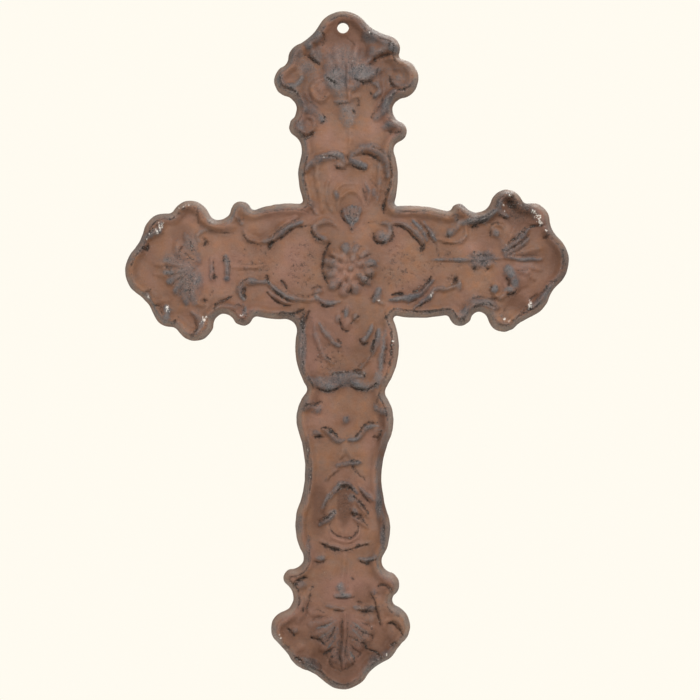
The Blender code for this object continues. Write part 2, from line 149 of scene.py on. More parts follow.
# The carving fades out this far round the nail hole
HOLE_COLLAR = 2.0
# What comes this near to the highest crest is eased down to this share of the way
SUMMIT = 1.0
SUMMIT_EASE = 0.25
# Crests and dips are told from the height about them: the reach looked over, and the full difference
CREST = (1.6, 0.45)
DIP = (4.5, 0.9)
# Painted shade and grime darken the ground round the folds and grooves this far
SHADE_ROUND_MARKS_REACH = 1.7
# Rub that stays where no crest is
LEAST_RUB = 0.55
# How strongly each source shows in its paint
STAIN_SHARES = {"rubbed": 0.8, "soot_and_shade": 0.7, "shade_and_grime": 0.7}
RIM_SHARE = 0.95
# Painted shade in dips, round the folds and grooves and along the inside of the rim, and the most of it
DIP_SHADE = 0.4
SHADE_ROUND_MARKS = 0.5
RIM_SHADE_SHARE = 0.5
MOST_SHADE = 1.4

# Bands round the inside of the rim, at these distances from the edge: a groove with a painted shadow line,
# slate, painted shade, rub and painted sheen
RIM_LINE = 3.5
RIM_LINE_WIDTH = 0.9
RIM_LINE_DEPTH = 0.3
RIM_SLATE = 2.5
RIM_SLATE_WIDTH = 1.0
RIM_SHADE = 6.2
RIM_SHADE_WIDTH = 3.2
RIM_RUB = 4.9
RIM_RUB_FADE = 1.2
RIM_SHEEN_REACH = 3.3
RIM_SHEEN_FADE = 0.9

# Unevenness of an old casting: a middle value, then waves with amount, size in millimetres and seed
WANDER_ACROSS = (0.0, (0.42, 7.0, 11), (0.252, 2.4, 12))
WANDER_UPWARD = (0.0, (0.42, 7.0, 13), (0.252, 2.4, 14))
GROUND_WAVES = (0.0, (0.2, 9.0, 7), (0.16, 2.9, 8))
FOLD_LUMPS = (1.0, (0.17, 2.0, 43))
RIM_LINE_GAPS = (0.35, (1.4, 13.0, 21), (0.6, 2.0, 22))
RIM_RUB_GAPS = (0.35, (0.3, 5.0, 23))
RIM_SLATE_GAPS = (0.35, (1.1, 17.0, 33), (0.4, 1.6, 34))
# Gaps in the painted shade along the inside of the rim
RIM_SHADE_GAPS = (0.55, (0.9, 21.0, 31))
RUB_PATCHES = (0.82, (0.4, 4.2, 42))
# Unevenness of the soot and painted shade in the grooves
SHADE_AND_SOOT_DOTS = (0.85, (0.45, 1.3, 41))

# A lobe is a compass arc: its place along the arm, how far its crest reaches from the
# arm's axis, its radius, and the radius of the hollow between it and the lobe before it.
Lobe = namedtuple("Lobe", "along reach radius waist")
Tip = namedtuple("Tip", "along radius waist")
Arm = namedtuple("Arm", "heading length tip right left")
# Marks of the carving, drawn along and across an arm until on_arm gives them their places
Fold = namedtuple("Fold", "path width height root end wear lean")
Knob = namedtuple("Knob", "centre heading along across height wear")
Swell = namedtuple("Swell", "centre heading along across height")
Groove = namedtuple("Groove", "path width depth")
Stain = namedtuple("Stain", "kind centre heading along across amount")

TOP = Arm(
    TOP_HEADING, TOP_ARM, Tip(120.8, 15.5, 24),
    right=[Lobe(46, 28.6, 48, 1.5), Lobe(70.5, 33.9, 6, 5), Lobe(99, 40.8, 11, 2.5), Lobe(115, 31.1, 8, 2)],
    left=[Lobe(47, 26.2, 36, 1.5), Lobe(74, 30.5, 6, 10), Lobe(99, 38.2, 9, 7), Lobe(110, 30.5, 9.5, 5)])
LEFT = Arm(
    LEFT_HEADING, LEFT_ARM, Tip(105, 16, 24),
    right=[Lobe(32, 33.6, 50, 1.5), Lobe(56.5, 35.6, 6, 2.5), Lobe(84, 37.2, 11, 2.5), Lobe(98, 31, 12.5, 3)],
    left=[Lobe(37, 29.7, 45, 6), Lobe(58, 32.3, 6, 2.5),
          Lobe(84, 39.6, 10.5, 2.5), Lobe(96.5, 31.5, 10.5, 5)])
RIGHT = Arm(
    RIGHT_HEADING, RIGHT_ARM, Tip(103.3, 17, 14),
    right=[Lobe(39, 30.8, 70, 1.5), Lobe(61, 35.2, 6.5, 2), Lobe(84.5, 38.5, 9, 2.5), Lobe(95, 31, 15, 30)],
    left=[Lobe(33, 30.9, 70, 1.5), Lobe(60.5, 31.8, 4.5, 3), Lobe(86.5, 39.3, 9, 8), Lobe(100, 32, 10, 3)])
FOOT = Arm(
    FOOT_HEADING, FOOT_ARM, Tip(217, 15, 24),
    right=[Lobe(46, 28.3, 40, 6), Lobe(85, 27.2, 22, 3), Lobe(142.5, 27.1, 31, 60),
           Lobe(171.5, 33.2, 5, 6), Lobe(199, 39.8, 10, 8), Lobe(208, 31, 14, 45)],
    left=[Lobe(46, 28.7, 38, 1.5), Lobe(86, 26.3, 24, 5), Lobe(145, 25.1, 28, 55),
          Lobe(174.5, 30.3, 7, 6), Lobe(197, 36.4, 12, 3.5), Lobe(203, 31, 15, 15)])
# Counter-clockwise round the cross, as the outline runs
ARMS = (RIGHT, TOP, LEFT, FOOT)
# The crossing's own motifs are drawn with along pointing up and across to the right
CROSSING = Arm(90.0, TOP_ARM, Tip(TOP_ARM, 0, 0), right=[], left=[])
# The hollow between two lobes has at least this share of the gap as its radius
LEAST_HOLLOW = 0.55
# A chord of the outline departs from its arc by no more than this share of the radius
COARSEST_CHORD = 0.3

strewn = np.random.default_rng(31)


def place(arm, along, across):
    """Points of an arm's drawing, in millimetres from the crossing; across is to its right hand."""
    turn = math.radians(arm.heading)
    along = np.asarray(along, float) * arm.length / (arm.tip.along + arm.tip.radius)
    across = np.asarray(across, float)
    return np.stack([along * math.cos(turn) + across * math.sin(turn),
                     along * math.sin(turn) - across * math.cos(turn)], -1)


def nail_hole_along():
    """Place of the nail hole along the top arm, as the arm is drawn."""
    return TOP.tip.along + TOP.tip.radius - NAIL_HOLE_INSET


def nail_hole():
    """Centre of the nail hole, in millimetres from the crossing."""
    return place(TOP, nail_hole_along(), 0.0)


def outline_circles():
    """The lobes round the cross as centre, radius and hollow before it."""
    circles = []
    for number, arm in enumerate(ARMS):
        corner = max(arm.right[0].waist, ARMS[number - 1].left[0].waist)
        stations = [(lobe.along, lobe.reach - lobe.radius, lobe.radius, lobe.waist) for lobe in arm.right]
        stations[0] = stations[0][:3] + (corner,)
        stations.append((arm.tip.along, 0.0, arm.tip.radius, arm.tip.waist))
        waists = [arm.tip.waist] + [lobe.waist for lobe in reversed(arm.left[1:])]
        for lobe, waist in zip(reversed(arm.left), waists):
            stations.append((lobe.along, lobe.radius - lobe.reach, lobe.radius, waist))
        circles += [(place(arm, along, across), radius, waist) for along, across, radius, waist in stations]
    return circles


def hollow_between(first, second):
    """The centre and radius of the hollow arc that touches two lobes from outside."""
    start, start_radius, _ = first
    end, end_radius, radius = second
    apart = end - start
    distance = math.hypot(*apart)
    radius = max(radius, (distance - start_radius - end_radius) * LEAST_HOLLOW)
    from_start = start_radius + radius
    from_end = end_radius + radius
    reach = (distance ** 2 + from_start ** 2 - from_end ** 2) / (2 * distance)
    rise = math.sqrt(max(from_start ** 2 - reach ** 2, 0.0))
    unit = apart / distance
    outward = np.array([unit[1], -unit[0]])
    return start + unit * reach + outward * rise, radius


def arc(centre, radius, start, end, turn, chord_error):
    """Points of an arc from start up to, but not at, end; turn is 1 counter-clockwise, -1 clockwise."""
    first = math.atan2(start[1] - centre[1], start[0] - centre[0])
    last = math.atan2(end[1] - centre[1], end[0] - centre[0])
    sweep = ((last - first) * turn) % math.tau
    step = 2 * math.acos(1 - min(chord_error / radius, COARSEST_CHORD))
    count = max(1, math.ceil(sweep / step))
    angles = first + turn * sweep * np.arange(count) / count
    return centre + radius * np.stack([np.cos(angles), np.sin(angles)], -1)


def outline(chord_error):
    """The closed outline as points in millimetres from the crossing, counter-clockwise."""
    circles = outline_circles()
    hollows = [hollow_between(circles[number - 1], circle) for number, circle in enumerate(circles)]
    points = []
    for number, (centre, radius, _) in enumerate(circles):
        before, before_radius = hollows[number]
        after, after_radius = hollows[(number + 1) % len(circles)]
        following, following_radius, _ = circles[(number + 1) % len(circles)]
        enter = centre + (before - centre) * radius / (radius + before_radius)
        leave = centre + (after - centre) * radius / (radius + after_radius)
        onward = following + (after - following) * following_radius / (following_radius + after_radius)
        points.append(arc(centre, radius, enter, leave, 1, chord_error))
        points.append(arc(after, after_radius, leave, onward, -1, chord_error))
    return np.concatenate(points)


def curve_through(points, steps):
    """A smooth curve through points, by Catmull and Rom's rule."""
    points = np.asarray(points, float)
    padded = np.concatenate([2 * points[:1] - points[1:2], points, 2 * points[-1:] - points[-2:-1]])
    share = np.arange(steps)[:, None] / steps
    spans = []
    for a, b, c, d in zip(padded, padded[1:], padded[2:], padded[3:]):
        bend = 2 * a - 5 * b + 4 * c - d
        twist = 3 * (b - c) + d - a
        spans.append(b + 0.5 * share * ((c - a) + share * (bend + share * twist)))
    return np.concatenate(spans + [points[-1:]])


def leaf(width, wear, *points, height=1.0, root=0.4, end=0.5, lean=0.0):
    """A raised fold through points; width is half its breadth, root and end are the shares at its ends.

    Wear is how far its paint is rubbed. Lean above 0 makes it gentle on the right of its run
    and steep on the left.
    """
    return Fold(curve_through(points, FOLD_STEPS), FULLNESS * width, height * CARVING_HEIGHT,
                root, end, wear, lean)


def ball(wear, along, across, half_along, half_across, height=0.8):
    """A raised oval knob."""
    return Knob((along, across), 0.0, half_along, half_across, height * CARVING_HEIGHT, wear)


def swell(along, across, half_along, half_across, height):
    """A soft swelling of the ground, or a dish where height is below 0."""
    return Swell((along, across), 0.0, half_along, half_across, height * CARVING_HEIGHT)


def crease(width, *points, depth=1.0):
    """A groove through points, dark with soot and painted shade."""
    return Groove(curve_through(points, CREASE_STEPS), width, depth * CREASE_DEPTH)


def stains(kind, *ovals):
    """Oval patches: paint rubbed to slate, soot with painted shade, painted shade with grime, rosy paint or
    chips: amount, place and half sizes.
    """
    return [Stain(kind, (along, across), 0.0, half_along, half_across, amount)
            for amount, along, across, half_along, half_across in ovals]


def spoke(centre, degrees, distances):
    """Points of a ring along the spoke of one angle."""
    angle = math.radians(degrees)
    return [(centre[0] + distance * math.cos(angle), centre[1] + distance * math.sin(angle))
            for distance in distances]


def petals(centre, inner, outer, count, width, height, first, wear):
    """Uneven drop-shaped petals in a ring, fat end outwards."""
    least_turn, least_reach, thinnest, least_rub = -6, 0.86, 0.8, 0.4
    most_turn, most_reach, fattest, most_rub = 6, 1.06, 1.2, 1.1
    folds = []
    for number in range(count):
        turn, reach, fatness, rub = strewn.uniform((least_turn, least_reach, thinnest, least_rub),
                                                   (most_turn, most_reach, fattest, most_rub))
        points = spoke(centre, first + turn + 360.0 * number / count,
                       (inner, (inner + outer * reach) / 2, outer * reach))
        folds.append(leaf(width * fatness, wear * rub, *points, height=height, root=0.35, end=1.0))
    return folds


def gaps(centre, inner, outer, count, width, first):
    """Creases of soot and painted shade between the petals of a ring, deeper here and there."""
    shallowest, deepest, most_turn = 0.2, 1.3, 3
    marks = []
    for number in range(count):
        depth, turn = strewn.uniform((shallowest, -most_turn), (deepest, most_turn))
        points = spoke(centre, first + turn + 360.0 * (number + 0.5) / count, (inner, outer))
        marks.append(crease(width, *points, depth=depth))
    return marks


def chips(count, start, end, spread):
    """Specks of bared white strewn about a line between two points, for chips and for a painted glint."""
    least_size, least_length, most_size, most_length = 0.25, 0.3, 0.6, 1.0
    marks = []
    for _ in range(count):
        share, off, aside, size, length = strewn.uniform((0, -spread, -spread, least_size, least_length),
                                                         (1, spread, spread, most_size, most_length))
        marks += stains("chips_and_glint", (1.0, start[0] + share * (end[0] - start[0]) + off,
                                    start[1] + share * (end[1] - start[1]) + aside, size, length))
    return marks


def dashes(along, across, half_along, half_across, count):
    """Short fine scratches strewn over an oval of plain ground."""
    shortest, longest, width, depth = 0.7, 2.0, 0.5, 0.55
    marks = []
    for _ in range(count):
        turn, spread, heading, length = strewn.uniform((0, 0, 0, shortest), (math.tau, 1, math.tau, longest))
        middle = np.array([along + half_along * math.sqrt(spread) * math.cos(turn),
                           across + half_across * math.sqrt(spread) * math.sin(turn)])
        half = length / 2 * np.array([math.cos(heading), math.sin(heading)])
        marks.append(crease(width, middle - half, middle + half, depth=depth))
    return marks


def top_palmette():
    """The broad acanthus of the top arm, its curls, collar and hanging leaf."""
    return [
        swell(101, 1, 16, 15, 0.5),
        leaf(3.6, 1.0, (91, -1.5), (95, -4.5), (100, -8.5), height=0.6, root=0.7, end=0.8),
        leaf(3.4, 1.0, (93, 3.5), (97, 8.5), (100.5, 14), (103, 19.5), height=0.7, root=0.7, end=0.4,
             lean=-0.3),
        leaf(2.6, 0.7, (98, -3.5), (104, -7), (109, -9.5), height=0.55, root=0.6, end=0.8),
        leaf(2.5, 0.35, (100, -1.5), (108, -3.2), (115.5, -4), height=0.55, root=0.6, end=0.8),
        leaf(2.7, 0.6, (98, 5), (104, 9), (109, 12), height=0.55, root=0.6, end=0.8),
        leaf(2.4, 0.3, (101, 4), (109, 5.3), (115.5, 7), height=0.55, root=0.6, end=0.8),
        leaf(1.2, 0.05, (86, 2.5), (95, 2), (108, 1.7), height=0.9, root=0.8),
        leaf(1.7, 0.9, (96.5, 15), (95.5, 18), (92, 19.3), (89.5, 17), height=0.75, end=0.9),
        leaf(1.6, 0.15, (99, -8), (98, -14), (94, -17.5), (89.5, -16), (87.5, -12), (90, -9.5), height=0.6,
             end=0.8),
        ball(0.1, 94.5, -12.5, 4, 2.6, 0.35), leaf(1.6, 0.6, (87.2, -5), (86.5, 0), (88, 3.5), height=0.7),
        leaf(0.8, 0.2, (88.5, 2), (89.3, 7.5), (85.5, 7.8), height=0.5),
        leaf(4.0, 0.95, (83, 1), (79, 2), (73.5, 2.6), height=0.6, root=0.95, end=0.12),
        leaf(1.2, 0.05, (74, 2.6), (66, 2.6), (61, 2), height=0.35),
        crease(1.25, (98, 6.5), (96.4, 10), (96.4, 13), (97.5, 15.5), depth=1.5),
        crease(0.9, (100, -9.5), (97.5, -7), (96, -4), depth=1.3), crease(0.6, (106, -4), (103, -6)),
        crease(0.6, (108, 5), (105, 3.5)), crease(0.6, (101, 17), (104.5, 19)),
        crease(0.7, (86.2, -3), (85.3, 0), (86.2, 2)), crease(0.7, (88.5, 7), (86, 7.8), (84.5, 7.5)),
        crease(0.9, (82.5, 5), (80.5, 5.7), (79.5, 5)), crease(0.9, (91, 14), (90, 14.5)),
        crease(0.9, (88.3, 15.5), (88.2, 17)), crease(0.6, (121, 2), (118, 5.5), (116, 8), depth=0.7),
        crease(0.5, (108, -1), (112, 0), (115, -1), depth=0.6),
        crease(0.7, (90, -9.5), (88.7, -11), depth=0.8), swell(96, -19, 13, 4, -0.45),
        swell(100, 21.5, 12, 3, -0.45), swell(121, 0, 12, 11, -0.4), swell(112, -12, 6, 5, -0.3),
        swell(115, 11, 9, 4, -0.5)]


def top_scrolls():
    """Ears, shoulders, bands and bumps of the top arm."""
    return [
        ball(0.2, 99, -28.5, 8.5, 8.5, 0.5), swell(101, -27, 5, 5, -0.5),
        leaf(2.3, 0.9, (104, -34), (98, -34.5), (95.6, -30.5), (96, -26), (99.5, -23), height=0.85,
             end=0.8),
        leaf(1.2, 0.3, (99.5, -23), (102.5, -25), (101, -28.5), height=0.7),
        crease(1.4, (95.5, -34.5), (94, -31), (93.3, -28), (91, -25), depth=1.4),
        leaf(3.2, 0.95, (92, -28), (86, -21.5), (80, -15.5), (77, -12.5), height=0.6, root=0.7, end=0.7),
        crease(0.8, (80.5, -11.8), (78, -10.6), (75.5, -11), (74.8, -13)),
        crease(0.7, (91, -24), (87, -18.5), (83, -14), depth=0.6), swell(99, 29, 10, 8, -0.35),
        leaf(1.8, 0.3, (109, 23), (108.5, 29), (104.5, 33.5), (99, 35.5), (94, 35), height=0.55),
        leaf(2.0, 0.5, (104, 28), (102, 32.5), (98, 34), (94.5, 32), height=0.55, end=0.8),
        ball(0.9, 98.5, 29.5, 3.8, 3.8, 0.6),
        crease(1.3, (100, 25.3), (97.5, 25), (94.5, 26.5), (92.8, 29), (92.3, 32), (94, 35.5), depth=1.3),
        leaf(1.5, 1.0, (97, 26), (95.2, 29), (95, 33), height=0.6),
        leaf(2.8, 0.95, (91, 27.5), (87, 24.5), (82, 21), (77.5, 17.5), height=0.75, root=0.6, end=0.7,
             lean=0.2),
        crease(0.8, (89, 21.5), (84, 18.5), (79.5, 14.8), (76.5, 15), depth=0.8),
        ball(1.2, 121, -15.5, 3.8, 4.4, 0.75),
        leaf(1.5, 1.2, (118, -19), (123, -18.5), (124.5, -14.5), (121.5, -11.5), height=0.7, root=0.8),
        crease(0.9, (124.8, -13), (123, -10.6), (120, -10.3), (117.3, -12), depth=1.1),
        leaf(2.0, 1.0, (121, -21), (117, -18.7), (112.5, -16), (108.5, -13), height=0.75, root=0.8),
        crease(1.3, (112.2, -21), (110.8, -18.5), (108.8, -16), (107, -13), depth=1.3),
        leaf(2.6, 0.55, (119, -23), (114, -26.5), (108.5, -30), height=0.4),
        ball(0.0, 115, -11.5, 4, 3, 0.3), swell(117, 20, 10, 10, 0.35),
        leaf(2.9, 0.9, (107.5, 13.5), (111.5, 17), (114.3, 21.5), (114.3, 26), (112.5, 29.5), height=0.75,
             root=0.6, lean=-0.45),
        crease(1.4, (106.5, 14.5), (109.3, 18), (111.3, 22), (111.3, 26), (109.8, 29), depth=1.6),
        ball(0.9, 122.5, 15.5, 5, 4.5, 0.4), crease(0.6, (117.5, 24.5), (115.5, 25.5), depth=0.9),
        crease(0.7, (125, 10.5), (120.5, 10.5), (116.5, 12.5), depth=0.5),
        ball(0.85, 73.7, -23.5, 5, 5.5, 0.55),
        leaf(1.2, 0.5, (79, -21), (77.5, -17.5), (73, -17), (70.5, -19.5), height=0.6, end=0.9),
        crease(1.3, (70.2, -25.5), (68.3, -22.5), (68.3, -19.5), (70.5, -17.5), depth=1.3),
        ball(1.0, 73.5, 24, 3.2, 4.6, 0.65), ball(0.4, 72.5, 29.5, 4.5, 4, 0.5),
        crease(0.9, (70.3, 23), (68.6, 27), (69.8, 31), depth=0.9),
        crease(0.7, (75, 28), (73, 30.5), depth=0.6)]


def top_belly():
    """Two arching scrolls over a frond and its bud."""
    return [
        leaf(2.3, 0.85, (49, -22.5), (54.5, -18), (57.6, -12), (58.6, -7), (57, -2.5), (53, -0.6),
             height=0.85, end=0.9, lean=0.15),
        leaf(1.6, 0.8, (54.5, -1.5), (52.3, -4), (51.5, -1.5), height=0.75, end=0.9),
        crease(0.8, (52, -6), (50.4, -4), (50, -1), depth=1.0),
        crease(0.7, (57.3, -13), (57.8, -10), (57.2, -6), (55, -4.2), depth=1.0),
        leaf(2.7, 0.85, (53.5, 2), (58, 4.5), (61, 9), (61, 14), (58.5, 18.5), (52, 21.5), (46, 22),
             height=0.95, lean=-0.2),
        crease(0.9, (58.3, 9.5), (58, 12.5), (56.3, 15.5), (53.5, 18), depth=1.3),
        crease(0.9, (62.3, 14), (60.8, 18.3), (57, 21.8), depth=0.9),
        leaf(2.2, 0.9, (55, 2.5), (54, 6), (52, 10), height=0.8, end=0.9),
        crease(0.9, (52.5, 3.5), (50.6, 7), (50.3, 11), depth=1.2),
        crease(0.7, (58, 0.6), (55.5, 1.2), depth=0.8),
        leaf(1.8, 0.12, (56, -14), (48, -15.8), (42, -15), (35, -13), (28, -13), height=0.5),
        leaf(1.5, 0.3, (46, -8.5), (40, -10.5), (33, -9.5), (27, -7.5), height=0.5),
        leaf(1.7, 0.4, (54, 17.5), (47, 18.5), (40, 18), (31, 16.5), height=0.5),
        leaf(1.2, 0.6, (43, 10), (38, 12.3), (31, 12.2), height=0.6),
        leaf(1.2, 0.05, (27, -4.5), (33, -4), (37.5, 0), (37.5, 5), (33, 9), (27, 10.5), height=0.45),
        leaf(1.0, 0.05, (30, -7), (38, -6), (42.5, -1), (42, 5), height=0.35),
        ball(0.9, 36.5, -5, 3.4, 2.1, 0.75), ball(0.8, 37, 15, 4, 2.2, 0.75),
        crease(0.5, (40, 8.5), (35, 10.5), (30, 10.3), depth=0.8),
        crease(0.6, (44, 13.3), (39, 17), (34, 17.3), depth=0.7), swell(48, 0, 9, 12, -0.3),
        crease(0.8, (60, 24), (52, 24.6), (45, 25), depth=0.9),
        crease(1.5, (46, 25), (38, 22.7), (30, 20.3), (26, 20), depth=1.6),
        crease(0.7, (55, -22), (45, -23), (34, -21.5), depth=0.5),
        leaf(1.4, 0.6, (35, -20), (30, -18), (26, -16), height=0.4),
        crease(0.6, (34.5, -18), (30.5, -19.5), (26, -17.5), depth=0.7), ball(0.8, 25.3, 3, 6.2, 5.4, 0.7),
        *[leaf(1.4, 1.1, (20.5, 3 + 0.2 * off), (25.5, 3 + 0.85 * off),
               (29.8 - 0.25 * abs(off), 3 + off), height=0.7, root=0.6, end=0.7)
          for off in (-4.4, -2.2, 0, 2.2, 4.4)],
        *[crease(0.45, (21.5, 3 + 0.25 * off), (26, 3 + 0.8 * off), (29.3, 3 + 0.9 * off), depth=0.8)
          for off in (-3.6, -1.2, 1.2, 3.6)],
        leaf(1.5, 0.8, (24, 3), (20, 3), (17, 3), height=0.6, root=0.8),
        crease(0.8, (29, -2.5), (25, -3.3), (22, -1.2), (20.5, 1.2), depth=0.9),
        crease(0.9, (18.5, 3), (16.5, 3), depth=1.0)]


def crossing():
    """The rosette, the four corner scrolls and the heart-shaped grounds beside it."""
    return [
        swell(-3, 1.5, 15, 15, 0.35), *petals((-3, 1.5), 8.4, 13.2, 12, 2.3, 0.9, 12.0, 0.85),
        *petals((-3.5, 1.5), 3.6, 7.4, 7, 1.8, 0.75, 20.0, 0.55),
        *gaps((-3, 1.5), 9.4, 13.6, 12, 0.8, 12.0), *gaps((-3.5, 1.5), 4.6, 8.0, 7, 0.7, 20.0),
        ball(0.6, -3.5, 1.5, 2.6, 2.6, 0.9),
        crease(1.1, (10, -9), (6, -12), (0, -13.6), (-6, -13.2), (-12, -10.3), depth=1.2),
        crease(0.9, (-9, 11.5), (-12.2, 9), (-11.3, 6.5), depth=0.9),
        crease(0.9, (-15, -1), (-16.3, 0.5), (-15.5, 2), depth=0.9),
        crease(0.8, (-6, 13.5), (-9, 12.7), depth=1.2),
        leaf(2.1, 0.5, (12, -11.5), (13.5, -16), (18, -17.8), (21.5, -14), (21, -9), (18.5, -5),
             height=0.8, root=1.0, end=0.2),
        ball(0.9, 12.8, -13, 2.3, 2.8, 0.75),
        crease(1.1, (19.5, -19.3), (16, -19.3), (12.8, -16.8), (10.8, -12.5), depth=1.1),
        leaf(1.9, 0.9, (21, 18), (20.5, 22.3), (15.5, 23), (11.5, 20.5), height=0.8, end=0.8),
        ball(1.0, 14.3, 18.3, 4, 4.4, 0.85),
        crease(1.1, (16.5, 14.2), (12.7, 14.5), (10.3, 17.5), (11, 21), depth=1.2),
        crease(0.9, (19.5, 24.3), (14.5, 24.8), (11, 22.8), depth=1.0),
        crease(0.6, (20.5, 8), (21.3, 13), (21.5, 18), depth=0.5), ball(0.9, -16, -16, 2.4, 3.2, 0.75),
        leaf(1.6, 0.85, (-16, -17), (-18.5, -17.5), (-21.5, -13.5), (-22, -9), (-21.5, -4), height=0.7),
        crease(1.0, (-20.5, -16), (-23.5, -13), (-23.7, -8), depth=1.2),
        crease(0.8, (-15, -19.5), (-13.6, -17), (-13.8, -13.5), depth=0.9),
        leaf(1.7, 1.0, (-21, 14), (-18, 15.5), (-14.5, 17), height=0.75, end=0.8),
        crease(0.7, (-20.5, 12.5), (-17.5, 13.8), depth=1.0),
        leaf(1.1, 0.7, (-17, 18), (-20.5, 17), (-23, 20), height=0.6), *dashes(-2, -25, 12, 8, 60),
        *dashes(-3, 27, 12, 8, 50)]


def left_shaft():
    """Acanthus sprays and a fine stem between the crossing and the left terminal."""
    return [
        crease(0.9, (19.5, 20.3), (25, 20.3), (30, 18), (34, 15), (38, 13), (40.5, 11), depth=1.1),
        leaf(2.2, 0.95, (24, 22.5), (31, 19.8), (36, 16.5), (40, 13.6), (44, 12.5), height=0.85, lean=0.3),
        crease(1.7, (42, 8.8), (41.2, 11), (40, 12.8), depth=1.5),
        leaf(1.4, 0.3, (27, 25.5), (33, 22), (38, 18.5), (44, 15), height=0.7),
        crease(0.9, (25.5, 24.8), (31, 21.5), (37, 18), (42, 14.6), depth=0.8),
        leaf(1.6, 0.35, (44, 14.5), (47, 12.8), (50, 13.8), (54, 15.3), (55.5, 19), height=0.7),
        crease(0.8, (47, 11.3), (50.5, 12.6), (53, 13.3), (56, 16), depth=1.1), swell(48, 20, 10, 5, 0.35),
        crease(0.8, (33, -14), (29, -16.3), (23, -17.8), (19, -17), depth=0.7),
        leaf(1.5, 0.5, (35, -14.5), (30, -17.8), (23, -19.7), (18, -19), height=0.6),
        leaf(1.5, 1.0, (45, -8), (41.5, -11), (38, -14.3), (34, -17.3), (30, -18.5), height=0.9),
        leaf(1.2, 0.4, (44, -13.5), (40, -17), (35, -19.8), (31, -20.8), height=0.6),
        crease(1.6, (43.8, -5.8), (43.2, -9.2), depth=1.5),
        crease(0.8, (41.5, -12.5), (37.5, -16.3), (33.5, -19), (30.5, -20.3), depth=1.4),
        crease(0.8, (44.5, -15), (41, -18.8), (36.5, -21.3), (31.5, -22), depth=1.4),
        crease(1.0, (36.3, -8.7), (34.5, -11), (33.5, -13), depth=1.2),
        leaf(1.8, 0.9, (56.5, -18), (58.8, -14), (57.8, -9.8), (54, -8.4), (45, -9.3), height=0.8),
        crease(1.2, (55.7, -17.7), (56.6, -15), (56.4, -12.2), depth=1.3),
        crease(0.9, (59.4, -11), (57, -8), (54.5, -7.2), depth=1.0),
        leaf(1.1, 0.2, (62, 0), (54, -0.4), (45, 0), height=0.35),
        crease(0.5, (58, 1.6), (50, 1.2), (44, 1.5), depth=0.6),
        crease(0.5, (60, -2.5), (50, -2.2), (44, -3), depth=0.5),
        crease(1.2, (41, -27), (35, -27.4), (29, -26.3), (24.5, -24.5), depth=1.4),
        crease(0.9, (50, -25.5), (41, -27), depth=0.7),
        crease(0.8, (20, 27.5), (26, 29.5), (37, 29), (47, 28), depth=0.7),
        crease(1.2, (26.5, -34), (25.8, -30.5), (24, -26), depth=1.4), *dashes(50, 0, 12, 10, 34)]


